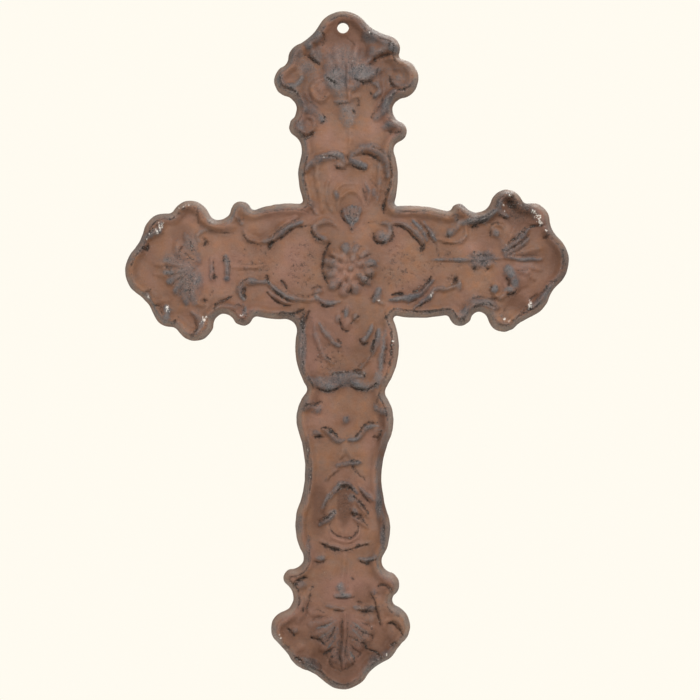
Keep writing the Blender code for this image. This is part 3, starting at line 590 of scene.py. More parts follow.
def left_terminal():
    """Collars, palmette, ears, shoulders and bumps of the left arm."""
    return [
        leaf(1.6, 0.5, (73.5, -6), (73.5, 4.5), height=0.6, root=0.8, end=0.8),
        crease(1.2, (72.6, -6), (72.3, -3), depth=1.3), crease(0.7, (72.3, -2), (72.3, 3.5), depth=0.8),
        leaf(2.0, 1.0, (65.8, -5.5), (65, 0), (65.8, 5.8), height=0.65, root=0.8, end=0.8),
        crease(0.8, (64.2, -4.5), (63.6, 0), (64.3, 5), depth=0.9), crease(0.9, (66.8, 4.5), (66.6, 6)),
        swell(88, -1, 15, 19, 0.5),
        leaf(3.3, 1.0, (81, -4), (83, -9), (84, -15), (82.5, -19), height=0.6, root=0.7, end=0.6),
        leaf(2.6, 1.0, (83, -4), (87, -9), (88.5, -14), (87.5, -18), height=0.6, root=0.7, end=0.6),
        leaf(2.5, 1.0, (84, -3), (89.5, -7), (93, -11.5), height=0.6, root=0.7, end=0.8),
        leaf(2.5, 1.0, (84, -2), (91, -4), (96.5, -6.5), height=0.6, root=0.7, end=0.8),
        leaf(2.5, 1.0, (84, -0.5), (92, -1), (98.5, -1), height=0.6, root=0.7, end=0.8),
        leaf(2.5, 0.9, (84, 1), (91.5, 2.5), (98.5, 5), height=0.6, root=0.7, end=0.7),
        crease(0.5, (85, -10), (86.5, -14.5), (85.5, -18.5), depth=0.7),
        crease(0.5, (86, -5.5), (90.5, -10), (91.5, -14), depth=0.7),
        crease(0.5, (87, -3), (92.5, -6.5), (95.5, -9.5), depth=0.7),
        crease(0.5, (87, -1.5), (93, -3), (98.5, -4), depth=0.7),
        crease(0.5, (87, 0.3), (93, 1), (99.5, 2), depth=0.7),
        leaf(2.6, 0.6, (82, 3), (87, 7), (91, 10), (92, 14), height=0.65, root=0.7, end=0.7),
        leaf(2.4, 0.7, (80.5, 4), (83, 9), (85, 14), (87, 18.5), height=0.65, root=0.7, end=0.7),
        leaf(1.5, 0.05, (97, -4), (105, -1.5), height=0.4), leaf(1.5, 0.05, (98, 3), (104, 3), height=0.4),
        crease(0.8, (83, 4.5), (86, 7), (88, 9), depth=0.9),
        crease(0.9, (90.5, 9), (88.8, 12.5), depth=1.2), crease(0.9, (83.3, 9), (83.8, 12), (85, 15)),
        crease(0.6, (88, -4), (91, -6.5), depth=0.8), crease(0.6, (86, -7), (87, -11), depth=0.8),
        crease(0.7, (95, -1), (98, 2.5)), crease(1.4, (77.8, 11.8), (76, 13.5), (76.8, 15.8), depth=1.4),
        leaf(1.4, 0.5, (79.5, 13), (80.7, 17.5), (78, 20), (74.5, 20), height=0.6),
        crease(1.2, (79.7, -18), (76.7, -18), depth=1.2),
        leaf(1.4, 0.2, (82, -19.5), (77, -20.3), height=0.4), crease(0.6, (74.5, -15), (73.5, -13)),
        swell(88, -29, 9, 9, -0.55), swell(88, 27, 9, 9, -0.5),
        crease(1.3, (91.5, -36), (87, -36.8), (84, -35), (82.5, -33), depth=1.2),
        leaf(2.0, 0.9, (83, -35.5), (80.8, -31), (82, -27), (85, -24), height=0.75),
        crease(0.7, (83.5, -31), (84, -27.5), depth=0.8),
        leaf(1.7, 0.3, (84, 33.5), (88, 33), (92, 30.5), height=0.5),
        crease(0.7, (80, 24.5), (80.2, 33.5), depth=0.9),
        leaf(2.4, 0.4, (78, -25.5), (72, -22), (65, -20.8), (60, -21.3), height=0.6, root=0.7),
        crease(1.0, (73.5, -23), (71, -19.5), (66, -17.5), (63, -16), depth=1.1),
        leaf(2.4, 0.05, (79, 26), (73, 22), (66, 20.5), (60, 21), height=0.55),
        crease(0.6, (74, 19.7), (66, 18.3), (60, 17.7), depth=0.6),
        crease(1.6, (101.5, -31), (96, -30.3), (94, -27.5), depth=1.4),
        leaf(1.9, 1.0, (100.5, -29), (98.5, -24.5), (99.5, -20), height=0.7),
        crease(1.0, (101.5, -24), (102.7, -20.5), (107, -18.7), depth=1.0),
        ball(0.6, 108.7, -14.5, 2.8, 3, 0.7), crease(1.3, (110.3, -12.3), (107, -11.3), depth=1.2),
        leaf(1.8, 0.15, (106, -18), (102, -17), (98, -17), height=0.4),
        crease(1.5, (110.5, 12), (108, 11.5), (107.3, 14.3), depth=1.4),
        leaf(2.1, 0.85, (110, 16), (106, 19.2), (101, 21.5), (99, 25), height=0.75),
        crease(1.0, (108, 19.5), (104, 22), (101, 24.6), depth=1.2),
        crease(0.6, (97.5, 27.5), (95, 30), (91, 33.3), depth=0.7),
        crease(0.9, (111, -13.7), (117, -11), (120, -5), (120.3, 0), (119, 6), (116, 10), (112, 12.7),
               depth=0.9),
        swell(109, 0, 10, 12, -0.4), crease(1.0, (61.5, -29), (57.3, -29.7), depth=1.1),
        leaf(1.4, 0.9, (57.5, -27.5), (56, -22), height=0.6),
        crease(0.8, (61, -20.3), (57.4, -21.8), (56.3, -25), depth=0.9), ball(0.3, 59, -27, 3.5, 3.5, 0.5),
        leaf(1.4, 0.7, (59.5, 28), (57.3, 25), (56, 22.5), height=0.6), crease(0.6, (58.5, 24), (55, 25.5)),
        ball(0.05, 58.5, 29.5, 4, 4, 0.4)]


def right_shaft():
    """Acanthus sprays and a ribbed stem between the crossing and the right terminal."""
    return [
        crease(1.0, (40, -8), (36.5, -13), (32, -17), (28, -19.2), (24.5, -19.3), depth=1.2),
        crease(1.7, (41.5, -9.3), (40, -5.8), depth=1.5),
        leaf(1.6, 0.6, (41.5, -9.5), (39.5, -13), (35, -17.5), (29, -20.8), (24, -21.3), height=0.75),
        crease(1.3, (45.5, 8), (43, 12), (39, 15), (35, 16.5), depth=1.4),
        crease(1.5, (30, 17.3), (24, 18), depth=1.4),
        leaf(1.9, 0.95, (46.5, 10), (41, 15.3), (36.5, 18.3), (29, 20), (23, 20.5), height=0.85),
        leaf(1.5, 1.2, (43, -11.5), (40.5, -16.5), (35.5, -22), height=0.75),
        leaf(1.4, 1.2, (48, -11.5), (45, -15.5), (42, -20), height=0.7),
        crease(0.6, (44.5, -13.5), (42, -18), (38.5, -22), depth=1.0),
        crease(0.6, (48.3, -4.5), (48, -9), (44, -12.5), depth=0.8),
        leaf(1.4, 0.85, (47, 14), (45, 18.3), (41, 21.3), (37, 24.5), height=0.7),
        crease(0.9, (44.3, 20.2), (40.5, 23.3), (36.5, 25.7), depth=1.2),
        crease(0.6, (38, 19.8), (34, 22.5), depth=0.8), leaf(1.3, 0.9, (37, 18.5), (32.5, 22), height=0.6),
        leaf(1.3, 0.3, (63, -20), (64, -14.5), (60.5, -10.8), (54.5, -11), (49, -12.5), height=0.65),
        leaf(1.9, 0.9, (60.5, -19.5), (57, -16.8), (55, -15), height=0.75, end=0.9),
        crease(0.8, (62, -11), (58, -9.5), (53, -9.8), depth=0.7), crease(0.8, (55, -13), (53.8, -15.8)),
        crease(1.6, (59.5, 8.7), (57.7, 12), depth=1.4), ball(0.8, 60.5, 13, 2.2, 4, 0.6),
        leaf(1.5, 0.6, (60.5, 12.5), (55, 14.3), (50, 14.6), (46, 15.5), height=0.7),
        leaf(1.1, 0.85, (46, -1), (60, -1), (84, -1.3), height=0.5),
        crease(0.5, (64, 0.5), (52, 0.5), depth=0.8), crease(0.5, (64, -2.6), (52, -2.6), depth=0.5),
        crease(1.0, (56, 26), (50, 26.7), (40, 27.3), (31, 26.5), (25, 25), depth=1.2),
        crease(0.7, (28, -26.5), (39, -27.3), (48, -26), (56, -23), depth=0.8),
        leaf(1.3, 0.8, (60, -25.5), (58.7, -20.5), height=0.5), crease(0.6, (59.7, -26), (59.5, -21)),
        ball(0.1, 61, -26.5, 4, 4, 0.4), *dashes(48, 3, 14, 9, 34)]


def right_terminal():
    """Knobs, palmette, ears, shoulders and bumps of the right arm."""
    return [
        swell(91, -2, 15, 18, 0.4), leaf(1.1, 0.8, (84, -1.3), (95, -1), (105, -0.7), height=0.7),
        crease(0.5, (104, -2.3), (97, -2.8), (90, -2.5), depth=0.9),
        leaf(2.0, 0.3, (86, -2), (95, -5), (104, -6.5), height=0.55),
        leaf(2.4, 1.0, (85.5, -3), (91, -7), (98, -12), height=0.75, root=0.7, end=0.3),
        leaf(2.4, 1.0, (85, -5.5), (91, -10.5), (98.5, -18), height=0.75, root=0.7, end=0.3),
        leaf(2.2, 0.35, (84, -7), (88, -13), (90.5, -18), height=0.6),
        leaf(2.2, 0.3, (83, -8), (84.5, -13), (86.5, -18.5), height=0.5),
        crease(0.8, (98.5, -14), (94, -10.5), (90, -7.7), (87, -5), depth=1.2),
        crease(0.9, (99, -19.5), (94, -15.3), (89, -11), (86, -8), depth=1.1),
        crease(0.6, (96, -8.5), (91.5, -5), (87, -2.5), depth=0.8),
        leaf(2.7, 1.0, (86.5, 4.8), (88.5, 7.5), (90.5, 11), (90.5, 15), (86, 15.8), height=0.85, root=1.0,
             end=0.8),
        crease(1.1, (86, 9.5), (87.7, 11.3), (87, 13.3), depth=1.4),
        crease(1.0, (91.5, 16), (89, 18.3), (85.5, 18), depth=1.3),
        leaf(2.4, 0.2, (87, 3), (95, 6), (101, 9.5), height=0.5), ball(0.1, 95, 11, 4, 4, 0.35),
        leaf(1.5, 0.1, (90, 1.5), (100, 3.5), (105, 5), height=0.4),
        crease(0.7, (97, 4.8), (92, 5.2), depth=0.9), crease(0.8, (98.7, 6.5), (97.2, 9)),
        leaf(1.3, 0.35, (83.5, -11.5), (85, -16), (82.5, -19.5), (78.5, -18.5), (77.8, -14), height=0.6),
        ball(1.0, 80.3, -15.3, 2.8, 3, 0.6), ball(1.0, 79.5, 14.8, 2.8, 3.2, 0.65),
        crease(0.7, (83, -20), (80.5, -20.8), (77.5, -20), depth=1.0),
        crease(0.8, (77.5, -17), (77, -13.5)), crease(0.8, (77.3, 12), (76.8, 16), depth=0.9),
        leaf(1.3, 0.3, (84.5, 12.5), (85.5, 17), (82.3, 19.8), (79.5, 18), height=0.6),
        crease(0.8, (82, 18.7), (79, 20.3), (77, 19)), crease(0.7, (84, -20.5), (80, -20.5), depth=0.7),
        ball(0.8, 76.2, -4.6, 2.4, 2.4, 0.6), ball(0.8, 76.2, 2, 2.4, 2.4, 0.6),
        ball(0.8, 69.5, 2.2, 2.4, 2.4, 0.6), ball(0.8, 69, -3.9, 2.4, 2.4, 0.5),
        crease(0.5, (78, -3), (74.5, -3.6), (71, -2.8), depth=0.6),
        crease(1.1, (70, 2.3), (68, 4.5), depth=1.2), crease(0.8, (76.5, 3.5), (75, 5)),
        crease(0.8, (70.5, -6), (68.5, -4.5)), swell(92, -29, 9, 8, -0.75), swell(91, 25, 8, 7, -0.4),
        crease(1.7, (90.5, -34.8), (88, -32.3), (87, -30.5), depth=1.2),
        leaf(2.0, 0.8, (89, -36.5), (84, -34.3), (82.3, -30), (83.3, -26), (86.8, -24), height=0.8),
        crease(0.9, (82.3, -25.5), (85, -22.7), (88, -22.7), depth=0.8),
        leaf(2.0, 0.5, (97, 26), (94, 32), (89, 35), (84.3, 33.5), (82.7, 28.5), height=0.7),
        ball(0.3, 89, 28.5, 4, 4, 0.4), crease(0.9, (96.5, 24.5), (93.5, 28), (91.5, 31.5)),
        crease(0.7, (86, 25), (84, 27.5), depth=0.7),
        leaf(2.1, 1.0, (81, -27), (76.5, -24.3), (72, -21.8), (66, -20.8), (60, -20.5), height=0.75),
        crease(0.7, (77.5, -25.5), (73, -20.5), (64, -19.2), depth=0.9),
        crease(1.5, (70, -18.7), (67, -18.2), depth=1.4),
        leaf(2.7, 1.0, (80.5, 25), (75, 22.2), (69.5, 21.8), (65, 24.5), (62, 28), height=0.8, root=0.7),
        crease(1.3, (80, 24.3), (76, 23.6), (71.5, 24), (68, 25.3), depth=1.5),
        crease(0.8, (78.5, 20.3), (73, 18.9), (67, 20.2), depth=1.0),
        crease(1.7, (63.5, 32.6), (60, 31), depth=1.4), ball(0.9, 61.5, 29.5, 4.2, 4.2, 0.5),
        crease(1.5, (108.8, -13), (106, -12.3), depth=1.4), ball(0.3, 108.3, -16, 2.6, 2.6, 0.5),
        crease(1.0, (106.3, -19.6), (101, -19), (97, -17.4), (94.5, -15.2), depth=1.2),
        swell(102, -24.5, 7, 7, 0.3), leaf(2.4, 0.6, (105, -20.5), (102, -24), (99, -30), height=0.4),
        leaf(2.3, 0.9, (114.5, 12), (110, 14), (107, 18), (103, 21), (98.5, 25), height=0.75, lean=-0.2),
        crease(1.0, (112, 11), (108, 13.5), (106, 16.3), (102, 18.3), (98, 20.7), depth=1.1),
        crease(1.2, (98.5, 23.7), (97, 27.2), depth=1.3),
        crease(1.2, (110, -11.7), (115, -9), (117.5, -4), (118, 2), (116.2, 8), (112, 11), (107, 11.5),
               depth=1.1),
        swell(108, 1, 9, 10, -0.4)]


def foot_bowl():
    """First panel of the foot: a volute arch, long leaves and a trefoil."""
    return [
        crease(1.0, (66, -20), (58, -22.3), (50, -23.8), (40, -24.5), (32, -22.3), (27, -20), depth=1.2),
        leaf(1.5, 1.0, (64, -15.5), (60, -17.7), (50, -19.2), (42, -20), (36, -20.5), height=0.65,
             root=0.8),
        crease(0.6, (60, -19), (52, -20.8), (42, -21.7), depth=0.8),
        crease(0.8, (67, 20), (60, 22.8), (50, 23.8), (42, 24.2), depth=0.9),
        leaf(1.2, 1.0, (67, 21.5), (60, 24.3), (50, 25.3), (40, 25.5), (33, 24), height=0.35, root=0.8),
        crease(1.4, (38, 24.3), (32, 22.7), (27, 20.5), depth=1.5),
        leaf(2.6, 1.0, (61, -17), (65.3, -15), (66.8, -9.5), (66, -4.5), (63.8, -2), height=0.8, root=0.7),
        crease(1.2, (65.3, -16), (68.7, -12), (69, -7), (67.8, -2.5), depth=1.5),
        leaf(2.9, 1.0, (64.3, 2), (66.8, 6), (67.1, 11), (65.5, 16), (63, 20.5), height=0.75, root=0.8),
        crease(1.1, (66.3, 2), (69.3, 6), (69.8, 11), (68.5, 16), depth=1.3),
        leaf(3.1, 1.0, (61.7, -9), (62, -1), (63, 7), (64.5, 13), height=0.75, root=0.8, end=0.8),
        crease(1.4, (62, -10.3), (59.9, -7.5), (59.3, -3.5), depth=1.5),
        crease(0.9, (59.4, -2), (59.9, 3), (60.8, 8), depth=1.2),
        crease(0.9, (78, -15.5), (71, -18), (64, -20.5), depth=0.8),
        leaf(1.3, 0.4, (57.5, -8), (54, -10.3), (50.5, -12.7), height=0.6, root=0.7),
        leaf(2.1, 1.0, (49.5, -14.3), (45, -15.8), (41, -16.7), (36.5, -17.2), height=0.75, root=0.6),
        crease(1.1, (53.5, -11), (49, -13.7), (43, -14.7), (37, -15.7), depth=1.2),
        crease(0.7, (56.5, -7), (54, -9), depth=0.9),
        leaf(1.7, 0.4, (55, 7.5), (51, 11.5), (46, 14), (38, 17), (33, 17.5), height=0.6),
        crease(0.9, (53.5, 8), (50.5, 11), depth=1.0),
        leaf(1.5, 0.9, (43, -9), (39, -11.5), (33.3, -13.5), height=0.7, root=0.9),
        crease(1.0, (43.5, -12.5), (45, -9.5), (42, -7), depth=1.1),
        leaf(1.4, 0.7, (45, 4), (44, 6.5), (41, 9), (38, 12), (33.5, 15), height=0.65, root=0.8),
        crease(1.0, (44, 3), (42, 5), depth=1.1), ball(0.2, 34, 0, 3.8, 2.6, 0.6),
        ball(1.0, 29.7, -4.3, 2.8, 2.2, 0.7), ball(0.6, 30, 4.5, 3.2, 2.3, 0.65),
        leaf(1.5, 0.9, (30, 0.5), (24, 0.2), height=0.6),
        crease(0.9, (37.7, -1), (36, 2.3), (32, 3.3), (30.5, 4), depth=1.1),
        crease(0.8, (29, -7), (31.5, -4), (33, -2.5), depth=0.9), crease(0.8, (28, 3), (25, 1.5)),
        swell(52, 0, 9, 10, -0.3), *dashes(53, 9, 9, 8, 56)]


def foot_tulip():
    """Second panel of the foot: a moustache of leaves under a tulip."""
    return [
        leaf(1.7, 0.8, (82, -24), (80.5, -20), (79.5, -17), (77, -15.5), height=0.6),
        leaf(2.3, 0.8, (80, 14.5), (78.3, 17), (78.3, 21), (80, 23), height=0.7, root=0.8),
        crease(1.2, (75.5, 13.5), (77, 17), (77.3, 21), (79, 23), depth=1.2),
        crease(0.7, (81.5, -19), (80, -16), depth=0.6), swell(75, -17, 5, 4, 0.3), swell(74, 12, 5, 5, 0.2),
        ball(0.8, 84.7, 0, 3, 2.6, 0.5), crease(0.7, (83, -2.5), (83, 1.5), depth=0.6),
        leaf(1.6, 0.9, (88.5, -18), (89, -13.5), (90.3, -10), (93.5, -8), (96, -5.5), (96, -1),
             height=0.75),
        crease(0.9, (87.3, -17), (87.4, -12.7), (89, -9.3), (92, -7.2), (94.3, -5), depth=1.2),
        leaf(1.6, 0.9, (96, 0), (96.5, 4), (94.3, 7.5), (92, 10), (90.5, 13), height=0.75),
        crease(1.1, (94.8, 4.5), (92, 7.3), (90, 10), (89.5, 12.7), depth=1.3),
        leaf(1.5, 0.8, (90.5, -19.5), (91, -16), height=0.6), ball(0.2, 93, -17.5, 2.6, 2.6, 0.5),
        crease(1.2, (92, -19.5), (94.8, -18.3), (94.3, -15.3), depth=1.4),
        crease(1.2, (95.3, 12.3), (94.8, 16.3), depth=1.4),
        leaf(1.5, 0.8, (93.5, 13.5), (92, 17.5), height=0.6),
        leaf(1.4, 0.1, (97, -0.5), (103, -1.8), (108, -5), height=0.5),
        leaf(1.4, 0.1, (97, 0.5), (103, 1.8), (108, 4), height=0.5),
        leaf(1.6, 0.9, (108, -8), (108.7, -4), (109.3, 0), (110.5, 4), height=0.7, root=0.7, end=0.7),
        crease(1.0, (107.5, -7), (107.9, -3), depth=1.1), crease(0.9, (109.8, -2), (111, -4.5), (113, -6)),
        crease(0.8, (112, -5), (114.5, -7.5), (118, -11), depth=0.9),
        leaf(1.4, 0.3, (111, 3), (113.5, 6.3), (118, 11), height=0.5),
        crease(0.6, (112.5, 3), (115, 6), (118, 9.3), depth=0.8),
        crease(1.0, (110, 19.5), (103, 20.6), (95, 21.5), depth=1.0),
        crease(0.7, (117, -18.5), (106, -19.5), (98, -21), depth=0.5), swell(89, 0, 5, 9, -0.2)]


def foot_cabochon():
    """Third panel of the foot: a long cabochon in sprays, under a bracket and two curls."""
    return [
        swell(136, 0, 13, 6.5, -0.35), ball(0.0, 137, 0.5, 12, 4.8, 0.55),
        leaf(1.9, 0.9, (125, -6.5), (120.6, -2), (120.4, 2), (124, 6), (128, 9.5), (133, 12), height=0.75),
        crease(1.8, (123.5, -4.5), (121.6, -1.5), (121.8, 1.5), (124, 4), depth=1.7),
        leaf(1.5, 0.85, (128.7, -15.3), (125, -11.3), (121.5, -7.5), height=0.65),
        crease(0.9, (130, -13.5), (127, -10.5), (124, -8.3), depth=1.0),
        leaf(1.4, 0.5, (138, -13), (133.5, -9.7), (128.8, -6), height=0.7),
        crease(1.2, (136.5, -13), (133, -10.8), (129.5, -7.5), (127.8, -5), depth=1.4),
        leaf(1.4, 0.5, (143.5, -12), (140, -8.7), (138, -4.5), height=0.7),
        crease(1.2, (141.5, -11.3), (138.3, -9), (136.6, -6), (136.8, -3.5), depth=1.4),
        leaf(1.5, 0.75, (136, 5), (139, 8.5), (142.5, 13.5), height=0.7),
        crease(1.1, (141, 14), (139, 10.8), (137, 8), (136, 5.7), depth=1.3),
        leaf(1.4, 0.4, (135, 12.7), (129, 10.2), (124, 6.3), height=0.6),
        crease(0.8, (133, 11.3), (128.5, 8.8), (125, 7), depth=0.8),
        leaf(1.0, 0.05, (143, -8), (147.5, -7.3), (150.5, -3), (151.3, 1), (149, 6.5), (144, 8.7),
             height=0.5),
        crease(0.7, (141, -7.3), (145, -7.3), (148.5, -3.8), (149.7, 0), (148.2, 4.8), (144, 7.8),
               (141, 7.5), depth=1.2),
        leaf(1.3, 0.3, (151.5, -13), (153, -7), (154.7, -3), (155, 0), (154, 7), (151.3, 13), height=0.55),
        crease(1.3, (152.7, -12.3), (153.9, -7), (155.5, -3), (156, -0.3), depth=1.4),
        crease(1.7, (155.8, 2), (155, 7), (152.7, 12), depth=1.6),
        leaf(1.4, 0.9, (158.7, -16.5), (160.6, -12.5), (160.4, -8), height=0.65),
        crease(1.0, (160.3, -16), (162.3, -12.5), (162, -8.5), depth=1.2),
        ball(0.8, 160.3, 12.8, 2, 3.4, 0.6), crease(0.9, (161.3, 9.5), (163, 13), (162.3, 16.5), depth=1.1),
        crease(0.9, (134, -18.3), (128, -19), (119, -18.7), depth=0.7),
        leaf(1.4, 0.8, (132, -19.5), (126, -20.3), height=0.4),
        crease(0.6, (156, -20), (148, -21.3), (140, -20), depth=0.5),
        crease(0.6, (150, 20), (140, 20.8), (130, 18.5), depth=0.5),
        crease(0.5, (131, -2.5), (130.5, 1.5), depth=0.7), crease(0.5, (127.5, -1), (127, 2), depth=0.6),
        leaf(1.4, 1.1, (133.5, -4.5), (136.5, -7), height=0.6),
        crease(1.3, (135.2, -3.7), (137.3, -5.3), (138.8, -8), depth=1.3)]


def foot_terminal():
    """Cap, collar, palmette, ears, shoulders and bumps of the foot."""
    return [
        leaf(1.6, 1.0, (180, -2.5), (180.2, 4.5), height=0.6, root=0.9, end=0.9),
        leaf(2.3, 1.0, (179.5, 1.3), (176.5, 1.5), (173, 1.5), height=0.6, root=1.0, end=0.05),
        crease(0.8, (181.2, -4.5), (182, -1), (181.9, 2.5), (181.4, 5), depth=1.1),
        leaf(1.5, 0.1, (174, 1), (166, 0.5), (158, 0), height=0.4), crease(0.7, (171.5, -5.5), (170, -4)),
        leaf(2.0, 0.8, (187, -16), (187.3, -10.5), (186, -5.5), height=0.7, root=0.8),
        crease(1.2, (188.7, -15), (189, -10.5), (187.8, -7), depth=1.2),
        crease(0.8, (184, -10), (183.5, -7)),
        leaf(1.5, 0.7, (187.5, -0.5), (187, 4.5), (186, 9), height=0.6),
        crease(0.9, (189, 0.5), (188.3, 5.5), depth=0.9), swell(202, 0, 18, 17, 0.45),
        leaf(0.9, 1.7, (194, -4), (197, -8), (199.5, -13), height=0.5),
        leaf(0.9, 1.7, (196, -3.5), (200.5, -7), (203.5, -11), height=0.5),
        leaf(0.9, 1.7, (198, -2.8), (205, -5.3), (209, -8.5), height=0.5),
        leaf(0.9, 1.7, (202, -2.2), (209.5, -3.8), (214.5, -6), height=0.5),
        leaf(0.9, 1.7, (193, 4), (196.5, 9), (198.5, 15), height=0.5),
        leaf(0.9, 1.7, (195, 4), (200, 8.5), (203.5, 13), height=0.5),
        leaf(0.9, 1.7, (198, 3.3), (205, 6), (209.5, 9.5), height=0.5),
        leaf(0.9, 1.7, (202, 2.7), (209.5, 4.3), (214.5, 6.5), height=0.5),
        leaf(1.3, 0.1, (190, -0.5), (205, -0.3), (220, 0), height=0.8),
        leaf(2.3, 0.2, (198, -1.5), (208, -3), (215, -4), height=0.6, end=0.9),
        leaf(2.5, 0.1, (196, -2), (203, -5), (208, -8.5), height=0.6, end=0.9),
        leaf(2.5, 0.15, (194, -2.5), (199, -8), (203, -13), height=0.6, end=0.9),
        leaf(2.5, 0.2, (192.5, -3), (195.5, -9), (198.5, -14.5), height=0.6, end=0.9),
        leaf(2.3, 0.3, (191, -3.5), (191.5, -9), (193, -15), height=0.5, end=0.9),
        leaf(2.3, 0.2, (198, 3), (208, 4.5), (215, 5), height=0.6, end=0.9),
        leaf(2.5, 0.1, (196, 3), (203, 7), (208.5, 10.5), height=0.6, end=0.9),
        leaf(2.6, 0.2, (194, 3), (198, 9), (201.5, 15), height=0.6, end=0.9),
        leaf(2.5, 0.3, (192, 3.5), (194, 10), (196, 17), height=0.6, end=0.9),
        leaf(2.3, 0.15, (191, 4), (190.3, 10), (190, 17), height=0.5, end=0.9),
        crease(0.6, (221, 0), (219.5, -3.5), (216.5, -6), (213, -5), depth=1.0),
        crease(0.6, (214, -8), (211.5, -9.5), (209.5, -6), (207, -3.5), depth=1.1),
        crease(0.8, (209, -12), (206.3, -11.5), (205, -8), (202.5, -3.5), depth=1.2),
        crease(0.7, (204.5, -15.5), (201.5, -15.5), (200, -11), (197, -6), depth=1.0),
        crease(0.7, (198.5, -17), (196.5, -14.5), (194.5, -9.5), depth=0.9),
        crease(0.6, (221.5, 2.5), (219.5, 5.5), (216.5, 7.5), (213.5, 6), depth=1.0),
        crease(0.8, (214.5, 8.5), (212, 10), (210, 7), (207.5, 4.5), depth=1.2),
        crease(1.4, (206.5, 10), (204.8, 13), (203.5, 17.5), depth=1.5),
        crease(0.8, (205.5, 9.5), (201.5, 6.5), (197, 5), depth=1.1),
        crease(0.7, (201, 18.5), (198, 13.5), (195, 8), depth=0.8),
        crease(0.7, (194.5, 18), (192.5, 13.5), (192, 8), depth=0.7),
        crease(0.7, (190, 11), (188, 14), (189, 17.5), depth=0.8),
        crease(0.5, (193, 1.2), (199, 1.5), (205, 1.2), (213, 1.6), (222, 1.2), depth=1.0),
        crease(0.6, (195, -1.8), (205, -1.6), (214, -1.2), depth=0.9),
        crease(1.1, (219, -13.5), (226, -9.3), (229.3, -4), (230, 1), (228.3, 6), (224, 10.5), (217, 13),
               depth=1.1),
        swell(222, 1, 7, 10, -0.4), swell(212, -13, 7, 5, -0.5), swell(214, 13, 7, 5, -0.5),
        crease(1.1, (206.7, -31.5), (206, -28), (207.5, -24.7), depth=1.3),
        leaf(1.8, 0.1, (207.5, -31.5), (209.5, -27.5), (211, -23.5), height=0.6),
        crease(1.1, (217.5, -22), (213.5, -20.3), (210.5, -17), (209, -12.5), depth=1.2),
        leaf(2.3, 0.85, (221, -16), (216, -19.7), (212.5, -22.5), height=0.6),
        ball(0.8, 221.5, -13, 4.5, 3.6, 0.4), swell(203, -26, 9, 8, -0.3), ball(0.05, 201, -28, 6, 5, 0.35),
        crease(1.1, (201, -32), (197.5, -30), (195.3, -27), (195.3, -23.5), depth=1.1),
        leaf(1.6, 0.3, (203, -34), (196.5, -32), (193.3, -27), (193.7, -23), height=0.55),
        leaf(2.4, 0.1, (198, -22.5), (190, -20.5), (184, -19), (179, -16), height=0.6),
        crease(1.0, (196, -20), (188, -18), (182, -16.3), (179.5, -14), depth=1.1),
        ball(1.0, 178.3, -16, 2.2, 2.8, 0.5), ball(0.1, 176, -25.5, 5, 5, 0.45),
        crease(1.4, (181, -26.5), (177, -25.2), (174.3, -22), (175, -18.7), depth=1.4),
        swell(206, 26, 9, 8, -0.3), ball(0.05, 208.5, 24, 3.4, 3.4, 0.5),
        crease(1.1, (202.3, 26.5), (200, 28.5), (198, 30.5), depth=1.3),
        ball(0.8, 199.3, 26.3, 2.4, 2.4, 0.5),
        leaf(1.8, 0.3, (205, 34), (198, 34.5), (194, 29.5), height=0.5),
        crease(1.0, (209, 31), (205.3, 34.7), depth=1.1),
        crease(1.4, (225, 13.5), (223.7, 17), (221.5, 20), depth=1.1),
        crease(1.8, (221, 17.5), (218.5, 22), depth=1.5),
        crease(1.8, (215.7, 22), (214.3, 26.3), depth=1.5),
        leaf(2.0, 0.7, (221.5, 14), (217, 18), (214, 21), height=0.6),
        leaf(2.2, 0.2, (195, 25), (188, 22.3), (183, 20.7), (177.5, 18), height=0.6),
        crease(0.9, (191, 20.5), (185, 19.3), (176, 17), depth=0.9), crease(1.0, (190, 22.5), (187, 21.5)),
        ball(0.9, 174.3, 23, 2.6, 5, 0.6), crease(1.3, (176.5, 28), (172.3, 25.3), (171, 20), depth=1.3),
        ball(0.1, 173, 28, 4, 4, 0.4)]


def top_wear():
    """Wear and painted light of the top arm: rubbed and rosy paint, painted shade with soot and grime, chips
    and a painted glint.
    """
    return [
        *stains("rubbed", (1.15, 98.5, -3.5, 9, 7.5), (1.15, 102, 9, 6, 11), (0.75, 109, 0, 10, 14),
                (0.8, 112.5, -25, 6, 4), (1.0, 122, 15, 5, 5), (0.35, 96, -20, 14, 12),
                (0.35, 98, 22, 10, 10), (0.8, 112, -14, 6, 3.5), (0.7, 105, -20, 5, 5),
                (0.7, 26, 3, 5, 4.5)),
        *stains("rosy", (0.9, 108, 3, 14, 14), (0.7, 82, -22, 10, 7), (0.7, 82, 22, 10, 6)),
        *stains("shade_and_grime", (0.9, 123, 2, 9, 14), (0.8, 114, 13, 8, 5), (0.6, 100, -21, 10, 5),
                (0.45, 112, 0, 30, 34), (0.3, 40, 10, 24, 20), (0.8, 130, 8, 5, 7)),
        *stains("soot_and_shade", (0.35, 106, 6, 6, 5)),
        # The first specks are a painted glint on the left arch's crest; the others are chips
        *chips(3, (57, -11), (58, -12), 0.5), *chips(2, (124, 13.5), (123, 15.5), 0.6)]


